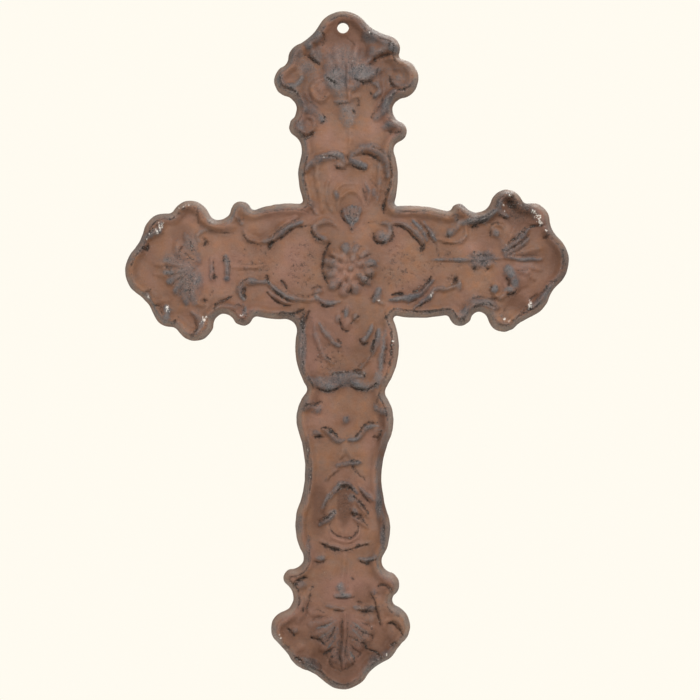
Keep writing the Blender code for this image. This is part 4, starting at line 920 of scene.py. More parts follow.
def left_wear():
    """Wear of the left arm, with its painted shade."""
    return [
        *stains("rubbed", (0.85, 87, -6, 9, 12), (0.6, 93, 3, 9, 7), (0.6, 84, 13, 5, 6)),
        *stains("soot_and_shade", (0.4, 86, -9, 6, 8), (0.35, 94, 3, 6, 6)),
        *stains("shade_and_grime", (0.35, 108, 0, 22, 30), (1.0, 89, 19, 7, 6), (0.4, 36, 0, 30, 26)),
        *stains("rosy", (0.3, 60, 0, 40, 30)),
        *chips(4, (109, -15), (107, -16), 0.8), *chips(15, (98, -24), (98.5, -20), 0.8),
        *chips(16, (81, -31), (78, -27), 1.4), *chips(26, (102, 20.5), (99, 25), 1.6),
        *chips(7, (109, 16), (104, 21), 0.9), *chips(7, (91, 32.5), (84, 34), 0.6),
        *chips(4, (59, -28), (58, -26), 0.8)]


def right_wear():
    """Wear of the right arm, with its painted shade."""
    return [
        *stains("soot_and_shade", (1.2, 40.3, -7, 1.7, 2.6), (0.35, 89, -5, 6, 6), (0.6, 73, 23.5, 7, 1.6),
                (0.3, 73, -1, 8, 5), (1.1, 89.5, -31, 5, 4), (0.75, 93, -27, 7, 7),
                (0.5, 70, -21.5, 9, 2.6)),
        *stains("rubbed", (0.8, 87.5, -5, 4, 5), (0.4, 97, 3, 7, 6), (1.3, 88, 7, 2.5, 3),
                (1.3, 90.5, 12, 2.5, 3.5), (1.2, 87.5, 15.5, 2.5, 2), (1.1, 73, 22.5, 8, 2.5),
                (1.1, 63, 27.5, 3.5, 3), (1.0, 72.5, -1.2, 9, 5.5)),
        *stains("shade_and_grime", (1.6, 93, -25, 9, 8), (0.9, 91, 22, 8, 6), (0.8, 113, 1, 5, 12),
                (0.35, 104, 0, 26, 32), (0.7, 76, -12, 9, 7), (0.4, 36, 0, 30, 26)),
        *stains("rosy", (0.9, 104, -23, 8, 7), (0.6, 98, 2, 9, 9)),
        *chips(48, (104, -20), (101, -27), 1.7), *chips(7, (86.5, -24.5), (83.5, -33), 1.0),
        *chips(4, (89, -35), (87, -35.5), 0.6), *chips(22, (99.5, 20), (98, 25), 1.1),
        *chips(12, (87, 32.5), (84, 31), 0.6), *chips(3, (46.5, 16.5), (45, 18), 0.5),
        *chips(4, (108, -16), (107, -17), 0.7)]


def foot_wear():
    """Wear of the foot, with its painted shade."""
    return [
        *stains("rubbed", (1.0, 64.3, 2, 4, 13), (0.8, 64.5, 14, 3.5, 7), (1.0, 46, 23.3, 19, 1.9),
                (0.6, 101, 20.5, 9, 1.8), (1.1, 130, -18.5, 10, 2.2), (1.1, 150, -20.5, 9, 2.0),
                (0.7, 116, 19.3, 10, 1.8), (0.7, 155, 19.5, 10, 1.8), (1.0, 136, 6.5, 2.6, 2.4),
                (0.9, 128, -3.5, 3, 2.4), (0.4, 201, -8, 8, 8), (0.4, 201, 8, 8, 9), (0.45, 212, 0, 8, 8),
                (0.95, 218, -17, 7, 4.5), (0.85, 219, 17, 4.5, 4.5), (0.8, 212, -23, 3, 3)),
        *stains("shade_and_grime", (0.9, 50, -6, 9, 9), (1.9, 132, 0, 13, 4.5), (0.9, 224, 1, 6, 9),
                (1.0, 216, 0, 34, 34), (0.55, 48, 6, 32, 26), (0.1, 100, 0, 26, 24), (1.1, 179, -10, 8, 7),
                (2.2, 232, -3, 7, 18), (2.2, 114, -20.5, 34, 4), (1.2, 134, 14, 16, 5),
                (0.3, 165, 0, 24, 24)),
        *stains("rosy", (0.8, 46, 20, 20, 5), (1.0, 203, 0, 17, 17), (0.6, 178, 0, 12, 20),
                (0.8, 214, 22, 8, 6)),
        *stains("soot_and_shade", (0.5, 46, 22.6, 19, 1.4), (0.7, 104, 20, 9, 1.2), (0.4, 131, 0.5, 9, 4),
                (0.7, 131, -19, 9, 1.6), (0.5, 150, -21, 9, 1.4), (0.5, 116, 18.9, 10, 1.2),
                (0.6, 155, 19, 10, 1.2), (0.5, 212, 0, 10, 10), (0.5, 203, 13, 4, 8),
                (0.45, 205, -9, 5, 7), (0.6, 218, -16.5, 8, 5), (0.7, 219, 18.5, 6, 5),
                (0.7, 187, -11, 2.5, 4.5), (0.8, 208, 31, 2.5, 2.5)),
        *chips(4, (45, -25), (42, -25), 0.4), *chips(3, (211, -24), (213, -23), 0.5),
        *chips(3, (201, 35), (203, 34), 0.5), *chips(3, (103, 20.6), (101, 20.6), 0.4)]


def crossing_wear():
    """Wear of the crossing, with its painted shade."""
    return [
        *stains("rubbed", (0.6, -3, -9, 8, 4), (0.35, -13, 2, 3, 8), (0.4, -2, 10, 9, 4)),
        *stains("soot_and_shade", (0.3, -4, -10, 7, 3), (0.3, -8, 9, 6, 4), (0.5, -7, 13, 2.2, 2.2),
                (0.5, -14, 1, 2, 2), (0.5, 7, -7, 2, 2)),
        *chips(4, (-22, 18), (-21, 16), 0.8)]


def on_arm(arm, marks):
    """Marks moved from an arm's drawing to millimetres from the crossing."""
    moved = []
    for mark in marks:
        if isinstance(mark, (Fold, Groove)):
            moved.append(mark._replace(path=place(arm, *mark.path.T)))
        else:
            moved.append(mark._replace(centre=place(arm, *mark.centre), heading=arm.heading))
    return moved


def carving():
    """Every fold, knob, swell, groove and stain of the face, in millimetres from the crossing."""
    drawings = [
        (TOP, top_palmette() + top_scrolls() + top_belly()),
        (CROSSING, crossing()),
        (LEFT, left_shaft() + left_terminal()),
        (RIGHT, right_shaft() + right_terminal()),
        (FOOT, foot_bowl() + foot_tulip() + foot_cabochon() + foot_terminal()),
        (TOP, top_wear()), (LEFT, left_wear()), (RIGHT, right_wear()), (FOOT, foot_wear()),
        (CROSSING, crossing_wear())]
    return [mark for arm, marks in drawings for mark in on_arm(arm, marks)]


class Raster:
    """A square grid over the casting that the carving is drawn on, in millimetres."""

    def __init__(self, loop):
        margin = 2.0
        self.low = loop.min(0) - margin
        size = loop.max(0) + margin - self.low
        self.shape = tuple(np.ceil(size / CELL).astype(int) + 1)
        self.across = self.low[0] + CELL * np.arange(self.shape[0])
        self.upward = self.low[1] + CELL * np.arange(self.shape[1])
        # Marks are drawn where the carver's hand wandered to
        self.x = self.across[:, None] + uneven(self, *WANDER_ACROSS)
        self.z = self.upward[None, :] + uneven(self, *WANDER_UPWARD)

    def window(self, low, high):
        """The cells between two corners."""
        first = np.clip(np.floor((low - self.low) / CELL).astype(int), 0, None)
        last = np.minimum(np.ceil((high - self.low) / CELL).astype(int) + 1, self.shape)
        return slice(first[0], last[0]), slice(first[1], last[1])

    def sample(self, grid, points):
        """The grid's value at free points, blended between cells."""
        place_in = (points - self.low) / CELL
        cell = np.clip(np.floor(place_in).astype(int), 0, np.array(self.shape) - 2)
        i, j = cell.T
        u, v = (place_in - cell).T
        return ((grid[i, j] * (1 - u) + grid[i + 1, j] * u) * (1 - v)
                + (grid[i, j + 1] * (1 - u) + grid[i + 1, j + 1] * u) * v)


def share_of(value, whole=1.0):
    """A value as its share of a whole, held between 0 and 1."""
    return np.clip(value / whole, 0, 1)


def blurred(grid, radius):
    """The grid softened by a Gaussian of the given radius in millimetres."""
    reach = math.ceil(3 * radius / CELL)
    weights = np.exp(-0.5 * (np.arange(-reach, reach + 1) * CELL / radius) ** 2)
    weights /= weights.sum()
    for axis in (0, 1):
        padded = np.pad(grid, [(reach, reach) if axis == side else (0, 0) for side in (0, 1)], "edge")
        total = np.zeros_like(grid)
        for number, weight in enumerate(weights):
            span = [slice(None), slice(None)]
            span[axis] = slice(number, number + grid.shape[axis])
            total += weight * padded[tuple(span)]
        grid = total
    return grid


def wave(raster, size, seed):
    """Smooth random waves of the given size in millimetres, between about -1 and 1."""
    coarse = [int(count * CELL / size) + 4 for count in raster.shape]
    waves = np.random.default_rng(seed).uniform(-1, 1, coarse)
    for axis in (0, 1):
        positions = np.arange(raster.shape[axis]) * CELL / size
        cell = positions.astype(int)
        share = positions - cell
        share = share * share * (3 - 2 * share)
        share = share[:, None] if axis == 0 else share[None, :]
        waves = np.take(waves, cell, axis) * (1 - share) + np.take(waves, cell + 1, axis) * share
    return waves


def uneven(raster, middle, *waves):
    """Unevenness about a middle value; each wave has its amount, size in millimetres and seed."""
    return middle + sum(amount * wave(raster, size, seed) for amount, size, seed in waves)


def segment_distance(x, z, start, end):
    """Distance from a grid's cells to one segment, the share of its length nearest, and the side."""
    run = end - start
    share = np.clip(((x - start[0]) * run[0] + (z - start[1]) * run[1]) / max(run @ run, 1e-9), 0, 1)
    right = (x - start[0]) * run[1] > (z - start[1]) * run[0]
    return np.hypot(x - start[0] - share * run[0], z - start[1] - share * run[1]), share, right


def edge_distance(raster, loop):
    """How far each cell lies inside the outline, up to a reach, and below 0 outside it."""
    reach = 10.0
    distance = np.full(raster.shape, reach)
    inside = np.zeros(raster.shape, bool)
    for start, end in zip(loop, np.roll(loop, -1, 0)):
        cells = raster.window(np.minimum(start, end) - reach, np.maximum(start, end) + reach)
        x = raster.across[cells[0]][:, None]
        z = raster.upward[cells[1]][None, :]
        distance[cells] = np.minimum(distance[cells], segment_distance(x, z, start, end)[0])
        rows = np.nonzero((start[1] > raster.upward) != (end[1] > raster.upward))[0]
        if len(rows):
            crossed = start[0] + (raster.upward[rows] - start[1]) * (end[0] - start[0]) / (end[1] - start[1])
            inside[:, rows] ^= raster.across[:, None] < crossed[None, :]
    return np.where(inside, distance, -distance)


def across_path(raster, path, widths, lean, reach):
    """Cells near a path, with their distance from it over its width there, and that width."""
    margin = max(widths) * (1 + abs(lean)) * reach + 1
    cells = raster.window(path.min(0) - margin, path.max(0) + margin)
    x = raster.x[cells]
    z = raster.z[cells]
    far = 9.0
    nearest = np.full(x.shape, far)
    breadth = np.zeros_like(nearest)
    for start, end, first, last in zip(path, path[1:], widths, widths[1:]):
        away, share, right = segment_distance(x, z, start, end)
        width = first + share * (last - first)
        ratio = away / (width * np.where(right, 1 + lean, 1 - lean))
        breadth = np.where(ratio < nearest, width, breadth)
        nearest = np.minimum(nearest, ratio)
    return cells, nearest, breadth


def path_share(path):
    """How far along its path each point lies, from 0 to 1."""
    lengths = np.hypot(*np.diff(path, axis=0).T)
    return np.concatenate([[0.0], np.cumsum(lengths)]) / lengths.sum()


def oval(raster, mark):
    """Cells near an oval, with their squared distance from its centre over its size."""
    turn = math.radians(mark.heading)
    reach = max(mark.along, mark.across)
    cells = raster.window(mark.centre - reach - 1, mark.centre + reach + 1)
    x = raster.x[cells] - mark.centre[0]
    z = raster.z[cells] - mark.centre[1]
    along = x * math.cos(turn) + z * math.sin(turn)
    across = x * math.sin(turn) - z * math.cos(turn)
    return cells, (along / mark.along) ** 2 + (across / mark.across) ** 2


def raise_over(raised, rubbed, cells, height, rub):
    """Raises cells to a height and rubs their paint, where the new form comes out over the old ones."""
    rubbed[cells] = np.maximum(rubbed[cells] * (height < raised[cells] + COVERS),
                               rub * (height > raised[cells] - SHOWS))
    raised[cells] = np.maximum(raised[cells], height)


def draw_fold(raster, raised, rubbed, fold):
    """Raises one fold on the grid, and rubs the paint along its back."""
    reach = 1.1
    rub_reach = 1.2
    dot_spread = 1.2
    travelled = path_share(fold.path)
    opening = np.sin(np.minimum(travelled / FOLD_TAPER, 1) * math.pi / 2)
    closing = np.sin(np.minimum((1 - travelled) / FOLD_TAPER, 1) * math.pi / 2)
    widths = fold.width * np.minimum(fold.root + (1 - fold.root) * opening,
                                     fold.end + (1 - fold.end) * closing)
    widths *= strewn.uniform(1 - LUMPINESS, 1 + LUMPINESS, len(widths))
    cells, nearest, breadth = across_path(raster, fold.path, widths, fold.lean, reach)
    fullness = np.minimum(1.0, THIN_FOLD + (1 - THIN_FOLD) * breadth / fold.width)
    height = fold.height * fullness * share_of(1 - nearest ** 2) ** FOLD_POWER
    raise_over(raised, rubbed, cells, height, fold.wear * share_of(rub_reach - nearest ** 2))
    strew_dots(raster, rubbed, fold.path, fold.wear, fold.width * dot_spread)


def draw_knob(raster, raised, rubbed, knob):
    """Raises one oval knob on the grid, and rubs the paint of its top."""
    rub_reach = 1.1
    cells, square = oval(raster, knob)
    height = knob.height * share_of(1 - square) ** KNOB_POWER
    raise_over(raised, rubbed, cells, height, knob.wear * share_of(rub_reach - square))


def draw_groove(raster, cut, soot_and_shade, groove):
    """Cuts one groove that thins towards its ends, with soot and painted shade in it and beside it."""
    shade_reach = 1.15
    dot_spread = 0.9
    travelled = path_share(groove.path)
    thinning = GROOVE_END + (1 - GROOVE_END) * np.sin(travelled * math.pi)
    widths = groove.width * GROOVE_FINENESS * thinning
    widths *= strewn.uniform(1 - GROOVE_RAGGEDNESS, 1 + GROOVE_RAGGEDNESS, len(widths))
    cells, nearest, _ = across_path(raster, groove.path, widths, 0.0, SIDE_SHADE_REACH)
    cut[cells] = np.maximum(cut[cells], groove.depth * share_of(1 - nearest ** 2))
    strength = min(1.0, groove.depth)
    # Painted shade and soot in the groove, and fainter painted shade and grime beside it
    groove_shade = GROOVE_SHADE_DEPTH * share_of(shade_reach - nearest) + SIDE_SHADE_DEPTH * share_of(SIDE_SHADE_REACH - nearest)
    soot_and_shade[cells] = np.maximum(soot_and_shade[cells], strength * groove_shade)
    strew_dots(raster, soot_and_shade, groove.path, strength, groove.width * dot_spread)


def strew_dots(raster, layer, path, amount, spread):
    """Paints dots of rub, or of soot with painted shade, at random about a path."""
    solid_reach = 1.3
    for point in path[strewn.random(len(path)) < DOT_SHARE]:
        size = strewn.uniform(*DOT_SIZES, 2)
        dot = Stain("", point + strewn.uniform(-spread, spread, 2), 0.0, *size, amount)
        cells, square = oval(raster, dot)
        layer[cells] = np.maximum(layer[cells], amount * share_of(solid_reach - square))


def draw_stain(raster, layers, mark):
    """Lays one oval of paint on the layer of its kind."""
    solid_reach = 1.25
    cells, square = oval(raster, mark)
    layer = layers[mark.kind]
    layer[cells] = np.maximum(layer[cells], mark.amount * share_of(solid_reach - square))


def draw_swell(raster, swollen, mark):
    """Lifts or sinks one oval of the ground."""
    cells, square = oval(raster, mark)
    swollen[cells] += mark.height * share_of(1 - square) ** SWELL_POWER


def drawn_marks(raster):
    """The carving on the grid: its raised, cut and swollen forms, their paint and painted shade, and the
    stains.
    """
    raised, cut, swollen = (np.zeros(raster.shape) for _ in range(3))
    worn = {kind: np.zeros(raster.shape) for kind in ("rubbed", "soot_and_shade")}
    stained = {kind: np.zeros(raster.shape) for kind in ("rubbed", "soot_and_shade", "shade_and_grime", "rosy", "chips_and_glint")}
    for mark in carving():
        if isinstance(mark, Fold):
            draw_fold(raster, raised, worn["rubbed"], mark)
        elif isinstance(mark, Knob):
            draw_knob(raster, raised, worn["rubbed"], mark)
        elif isinstance(mark, Groove):
            draw_groove(raster, cut, worn["soot_and_shade"], mark)
        elif isinstance(mark, Stain):
            draw_stain(raster, stained, mark)
        else:
            draw_swell(raster, swollen, mark)
    return raised, cut, swollen, worn, stained


def section(within):
    """Height of the plain casting over the wall: a rim that rises from the edge and falls to the field."""
    rise = share_of(within, RIM_WIDTH)
    rise = (1 - RIM_ROUNDNESS) * rise + RIM_ROUNDNESS * np.sin(rise * math.pi / 2)
    fall = 0.5 - 0.5 * np.cos(share_of(within - RIM_WIDTH, RIM_FALL) * math.pi)
    return EDGE_THICKNESS + (RIM_HEIGHT - EDGE_THICKNESS) * rise - (RIM_HEIGHT - FIELD_HEIGHT) * fall


def band(within, middle, half_width):
    """A band round the inside of the outline, 1 at its middle and 0 at its sides."""
    return share_of(1 - np.abs(within - middle) / half_width)


def carve(raster, loop):
    """The face on the grid: distance from the edge, height over the wall, and the ages of its paint with its
    painted shade and sheen.
    """
    distance = edge_distance(raster, loop)
    within = np.clip(distance, 0, None)
    raised, cut, swollen, worn, stained = drawn_marks(raster)
    corner = nail_hole()
    off_hole = np.hypot(raster.across[:, None] - corner[0], raster.upward[None, :] - corner[1])
    off_hole -= NAIL_HOLE / 2
    inland = share_of(within, RIM_WIDTH) * share_of(off_hole, HOLE_COLLAR)
    raised *= uneven(raster, *FOLD_LUMPS)
    height = section(within) + (swollen + raised + uneven(raster, *GROUND_WAVES)) * inland
    height = np.where(within > CRISP_EDGE, blurred(height, SOFTNESS), height)
    rim_line = band(within, RIM_LINE, RIM_LINE_WIDTH) * share_of(uneven(raster, *RIM_LINE_GAPS))
    height -= (cut + RIM_LINE_DEPTH * rim_line) * inland
    eased = SUMMIT_EASE * share_of(HIGHEST - height) * (height > HIGHEST - SUMMIT)
    height = np.minimum(height, HIGHEST - eased)
    return distance, height, aged_paint(raster, within, inland, height, rim_line, worn, stained)


def aged_paint(raster, within, inland, height, rim_line, worn, stained):
    """The ages of the paint with its painted shade, sheen and glint on the grid, one layer for each attribute
    of the mesh.
    """
    crest_reach, crest_rise = CREST
    dip_reach, dip_depth = DIP
    crest = share_of(height - blurred(height, crest_reach), crest_rise)
    dip = share_of(blurred(height, dip_reach) - height, dip_depth)
    shade_round_marks = blurred(np.maximum(worn["rubbed"], worn["soot_and_shade"]), SHADE_ROUND_MARKS_REACH)
    stained = {kind: STAIN_SHARES.get(kind, 1.0) * grid for kind, grid in stained.items()}
    rim_rub = uneven(raster, *RIM_RUB_GAPS) * share_of(RIM_RUB - within, RIM_RUB_FADE)
    rim_slate = band(within, RIM_SLATE, RIM_SLATE_WIDTH) * share_of(uneven(raster, *RIM_SLATE_GAPS))
    rim_shade = band(within, RIM_SHADE, RIM_SHADE_WIDTH) * share_of(uneven(raster, *RIM_SHADE_GAPS))
    rubbed = worn["rubbed"] * (LEAST_RUB + (1 - LEAST_RUB) * crest) * uneven(raster, *RUB_PATCHES)
    soot_and_shade = worn["soot_and_shade"] * inland * uneven(raster, *SHADE_AND_SOOT_DOTS)
    # Painted shade in dips, round the folds and grooves and inside the rim, over the stains of painted shade
    # and grime
    shade_and_grime = stained["shade_and_grime"] + DIP_SHADE * dip + SHADE_ROUND_MARKS * shade_round_marks + RIM_SHADE_SHARE * rim_shade
    return {"rubbed": np.maximum.reduce([rubbed, stained["rubbed"], rim_rub, RIM_SHARE * rim_slate]),
            # Soot and painted shade of the grooves, and the rim line as a painted shadow line
            "soot_and_shade": np.maximum.reduce([soot_and_shade, stained["soot_and_shade"], RIM_SHARE * rim_line]),
            "shade_and_grime": np.clip(shade_and_grime, 0, MOST_SHADE),
            "rosy": stained["rosy"],
            # Chips, and one painted glint
            "chips_and_glint": stained["chips_and_glint"],
            # A painted sheen on the rim's outer band
            "rim_sheen": share_of(RIM_SHEEN_REACH - within, RIM_SHEEN_FADE)}


def hole_loop():
    """The nail hole as a closed loop."""
    angles = math.tau * np.arange(HOLE_SIDES) / HOLE_SIDES
    return nail_hole() + NAIL_HOLE / 2 * np.stack([np.cos(angles), np.sin(angles)], -1)


def channel(inset):
    """A closed loop round the channel of the back, drawn in by inset: a plain cross with round ends."""
    half = CHANNEL_WIDTH / 2 - inset
    points = []
    for number, arm in enumerate(ARMS):
        before = ARMS[number - 1]
        points.append((place(before, half, -half) + place(arm, half, half)) / 2)
        end = arm.tip.along + arm.tip.radius - BACK_RIM
        if arm is TOP:
            end = nail_hole_along() - NAIL_HOLE / 2 - NAIL_BOSS
        angles = np.linspace(math.pi / 2, -math.pi / 2, CHANNEL_END_SIDES + 1)
        centre = end - CHANNEL_WIDTH / 2
        points += list(place(arm, centre + half * np.cos(angles), half * np.sin(angles)))
    return np.array(points)


def drawn_in(loop, inset):
    """The loop moved inwards along its own normals."""
    tangent = np.roll(loop, -1, 0) - np.roll(loop, 1, 0)
    tangent /= np.hypot(*tangent.T)[:, None]
    return loop + inset * np.stack([-tangent[:, 1], tangent[:, 0]], -1)


def worn_edge(loop):
    """The outline drawn in unevenly, as a rough old casting's edge is."""
    travelled = np.concatenate([[0.0], np.cumsum(np.hypot(*np.diff(loop, axis=0).T))])
    rough = np.random.default_rng(EDGE_SEED)
    depth = np.full(len(loop), EDGE_INSET)
    for size, share in EDGE_WAVES:
        knots = rough.uniform(0, 1, math.ceil(travelled[-1] / size) + 1)
        knots[-1] = knots[0]
        depth += EDGE_WEAR * share * np.interp(travelled / size, np.arange(len(knots)), knots)
    return drawn_in(loop, depth[:, None])


def grid_inside(raster, distance):
    """Staggered grid points inside the outline and clear of it and of the nail hole."""
    clearance = 0.62 * FACE_SPACING
    rows = np.arange(raster.upward[0], raster.upward[-1], FACE_SPACING * math.sqrt(0.75))
    columns = np.arange(raster.across[0], raster.across[-1] - FACE_SPACING, FACE_SPACING)
    shift = (np.arange(len(rows)) % 2) * FACE_SPACING / 2
    across = columns[:, None] + shift[None, :]
    points = np.stack([across, np.broadcast_to(rows, across.shape)], -1).reshape(-1, 2)
    off_hole = np.hypot(*(points - nail_hole()).T) - NAIL_HOLE / 2
    return points[(raster.sample(distance, points) > clearance) & (off_hole > clearance)]


def triangulate(edge, hole, others, free):
    """Delaunay triangles over the edge, the nail hole, other loops and free points, open at the hole."""
    points = np.concatenate([edge, hole, *others, free])
    borders = []
    start = 0
    for loop in (edge, hole, *others):
        count = len(loop)
        borders += [(start + number, start + (number + 1) % count) for number in range(count)]
        start += count
    filled, tolerance = 1, 1e-7
    result = delaunay_2d_cdt([Vector(point) for point in points], borders, [], filled, tolerance)
    source = [origins[0] for origins in result[3]]
    triangles = np.array([[source[corner] for corner in face] for face in result[2]])
    in_hole = ((triangles >= len(edge)) & (triangles < len(edge) + len(hole))).all(1)
    return points, triangles[~in_hole]


def strip(first, second, offset, count, turn):
    """Quads between two loops of vertices; turn -1 faces them the other way."""
    quads = []
    for number in range(count):
        here = offset + number
        onward = offset + (number + 1) % count
        quads.append([first + here, second + here, second + onward, first + onward][::turn])
    return quads


def carved_cross():
    """The whole casting in one closed mesh, with the ages of its paint and its painted shade, sheen and glint
    as attributes.
    """
    edge = worn_edge(outline(FINE_CHORD))
    raster = Raster(edge)
    distance, height, paint = carve(raster, edge)
    hole = hole_loop()
    face, face_triangles = triangulate(edge, hole, [], grid_inside(raster, distance))
    face_height = raster.sample(height, face)
    face_height[:len(edge)] = EDGE_THICKNESS

    floor = channel(CHANNEL_SLOPE)
    brink = channel(0.0)
    rounded = drawn_in(edge, BACK_EDGE_ROUND)
    back, back_triangles = triangulate(rounded, hole, [brink, floor], np.empty((0, 2)))
    hollow = np.zeros(len(back))
    hollow[-len(floor):] = CHANNEL_DEPTH

    rows = [np.column_stack([face[:, 0], -face_height, face[:, 1]]),
            np.column_stack([edge[:, 0], np.full(len(edge), -BACK_EDGE_ROUND), edge[:, 1]]),
            np.column_stack([back[:, 0], -hollow, back[:, 1]])]
    corner = nail_hole()
    vertices = (np.concatenate(rows) - (corner[0], 0.0, corner[1])) * MM
    side = len(face)
    behind = side + len(edge)
    faces = (face_triangles.tolist() + (back_triangles[:, ::-1] + behind).tolist()
             + strip(0, side, 0, len(edge), 1) + strip(side, behind, 0, len(edge), 1)
             + strip(0, behind, len(edge), len(hole), -1))
    mesh = bpy.data.meshes.new("carved_cross")
    mesh.from_pydata(vertices.tolist(), [], faces)
    mesh.shade_smooth()
    for name, grid in paint.items():
        values = np.zeros(len(vertices), np.float32)
        values[:len(face)] = raster.sample(grid, face)
        mesh.attributes.new(name, "FLOAT", "POINT").data.foreach_set("value", values)
    mark_back_edges_sharp(mesh)
    cross = bpy.data.objects.new("carved_cross", mesh)
    bpy.context.collection.objects.link(cross)
    return cross


def mark_back_edges_sharp(mesh):
    """Keeps the flat back and its channel from shading round their corners."""
    # The front corner of the edge still counts as the back
    front_of_back = -1.01 * EDGE_THICKNESS * MM
    work = bmesh.new()
    work.from_mesh(mesh)
    for line in work.edges:
        behind = all(vertex.co.y > front_of_back for vertex in line.verts)
        if behind and line.is_manifold and line.calc_face_angle() > math.radians(SHARP_TURN):
            line.smooth = False
    work.to_mesh(mesh)
    work.free()


RUST_BROWN = (0.107, 0.0472, 0.0222, 1.0)
ROSY_BROWN = (0.109, 0.0545, 0.0415, 1.0)
EARTH_BROWN = (0.084, 0.0510, 0.0365, 1.0)
# Pale grey-brown of the painted sheen on the rim's outer band
RIM_SHEEN_COLOUR = (0.122, 0.094, 0.076, 1.0)
# Dark brown of painted shade and grime in the hollows, and of random darker patches
SHADE_AND_MOTTLE_BROWN = (0.043, 0.018, 0.0095, 1.0)
WORN_SLATE = (0.064, 0.0575, 0.0570, 1.0)
DARK_SLATE = (0.029, 0.0275, 0.0315, 1.0)
# Near-black of the soot and painted shade in the grooves, and of grit and pits
SHADE_AND_SOOT_BLACK = (0.0085, 0.0072, 0.0065, 1.0)
# Pale grey of the painted glints
PAINTED_GLINT_GREY = (0.145, 0.134, 0.126, 1.0)
# Bared white of chips and of one painted glint
BARED_WHITE_AND_GLINT = (0.34, 0.325, 0.305, 1.0)

# Noises of the paint: scale, detail, roughness, and the values that become 0 and 1
CLOUDS = (34.0, 3.0, 0.6, 0.35, 0.65)
ROSY_CLOUDS = (52.0, 2.0, 0.5, 0.42, 0.66)
PATCHES = (75.0, 4.0, 0.6, 0.3, 0.7)
BLOTCHES = (210.0, 4.0, 0.6, 0.3, 0.7)
BROKEN = (520.0, 6.0, 0.75, 0.3, 0.7)
DOTS = (1150.0, 2.0, 0.7, 0.32, 0.68)
# Noise of the painted glints
GLINT_NOISE = (1330.0, 1.0, 0.5, 0.4, 0.8)
GRIT = (1700.0, 2.0, 0.6, 0.3, 0.7)

# Relief of the paint's grain: how strongly it shows, and its height in metres
GRAIN_STRENGTH = 0.8
GRAIN_HEIGHT = 0.0003


def noise(tree, coordinates, scale, detail, roughness, low, high):
    """Fractal noise on the object's own coordinates, stretched between low and high."""
    texture = tree.nodes.new("ShaderNodeTexNoise")
    texture.inputs["Scale"].default_value = scale
    texture.inputs["Detail"].default_value = detail
    texture.inputs["Roughness"].default_value = roughness
    tree.links.new(coordinates, texture.inputs["Vector"])
    return stretched(tree, texture.outputs["Fac"], low, high)


def stretched(tree, value, low, high, first=0.0, last=1.0):
    """A value spread from low..high to first..last."""
    spread = tree.nodes.new("ShaderNodeMapRange")
    for name, number in zip(("From Min", "From Max", "To Min", "To Max"), (low, high, first, last)):
        spread.inputs[name].default_value = number
    tree.links.new(value, spread.inputs["Value"])
    return spread.outputs["Result"]


def feed(tree, socket, value):
    """Gives a socket a number, a colour or another socket's value."""
    if isinstance(value, (int, float, tuple)):
        socket.default_value = value
    else:
        tree.links.new(value, socket)


def arithmetic(tree, operation, first, second):
    """One sum or product of sockets or numbers."""
    node = tree.nodes.new("ShaderNodeMath")
    node.operation = operation
    feed(tree, node.inputs[0], first)
    feed(tree, node.inputs[1], second)
    return node.outputs[0]


def total(tree, *values):
    """The sum of sockets or numbers, added from the left."""
    result = values[0]
    for value in values[1:]:
        result = arithmetic(tree, "ADD", result, value)
    return result


def product(tree, first, second):
    """The product of two sockets or numbers."""
    return arithmetic(tree, "MULTIPLY", first, second)


def blend(tree, share, first, second):
    """Two colours blended by share."""
    node = tree.nodes.new("ShaderNodeMix")
    node.data_type = "RGBA"
    feed(tree, node.inputs[0], share)
    feed(tree, node.inputs[6], first)
    feed(tree, node.inputs[7], second)
    return node.outputs[2]


def painted(tree, name):
    """One of the casting's own attributes."""
    node = tree.nodes.new("ShaderNodeAttribute")
    node.attribute_name = name
    return node.outputs["Fac"]


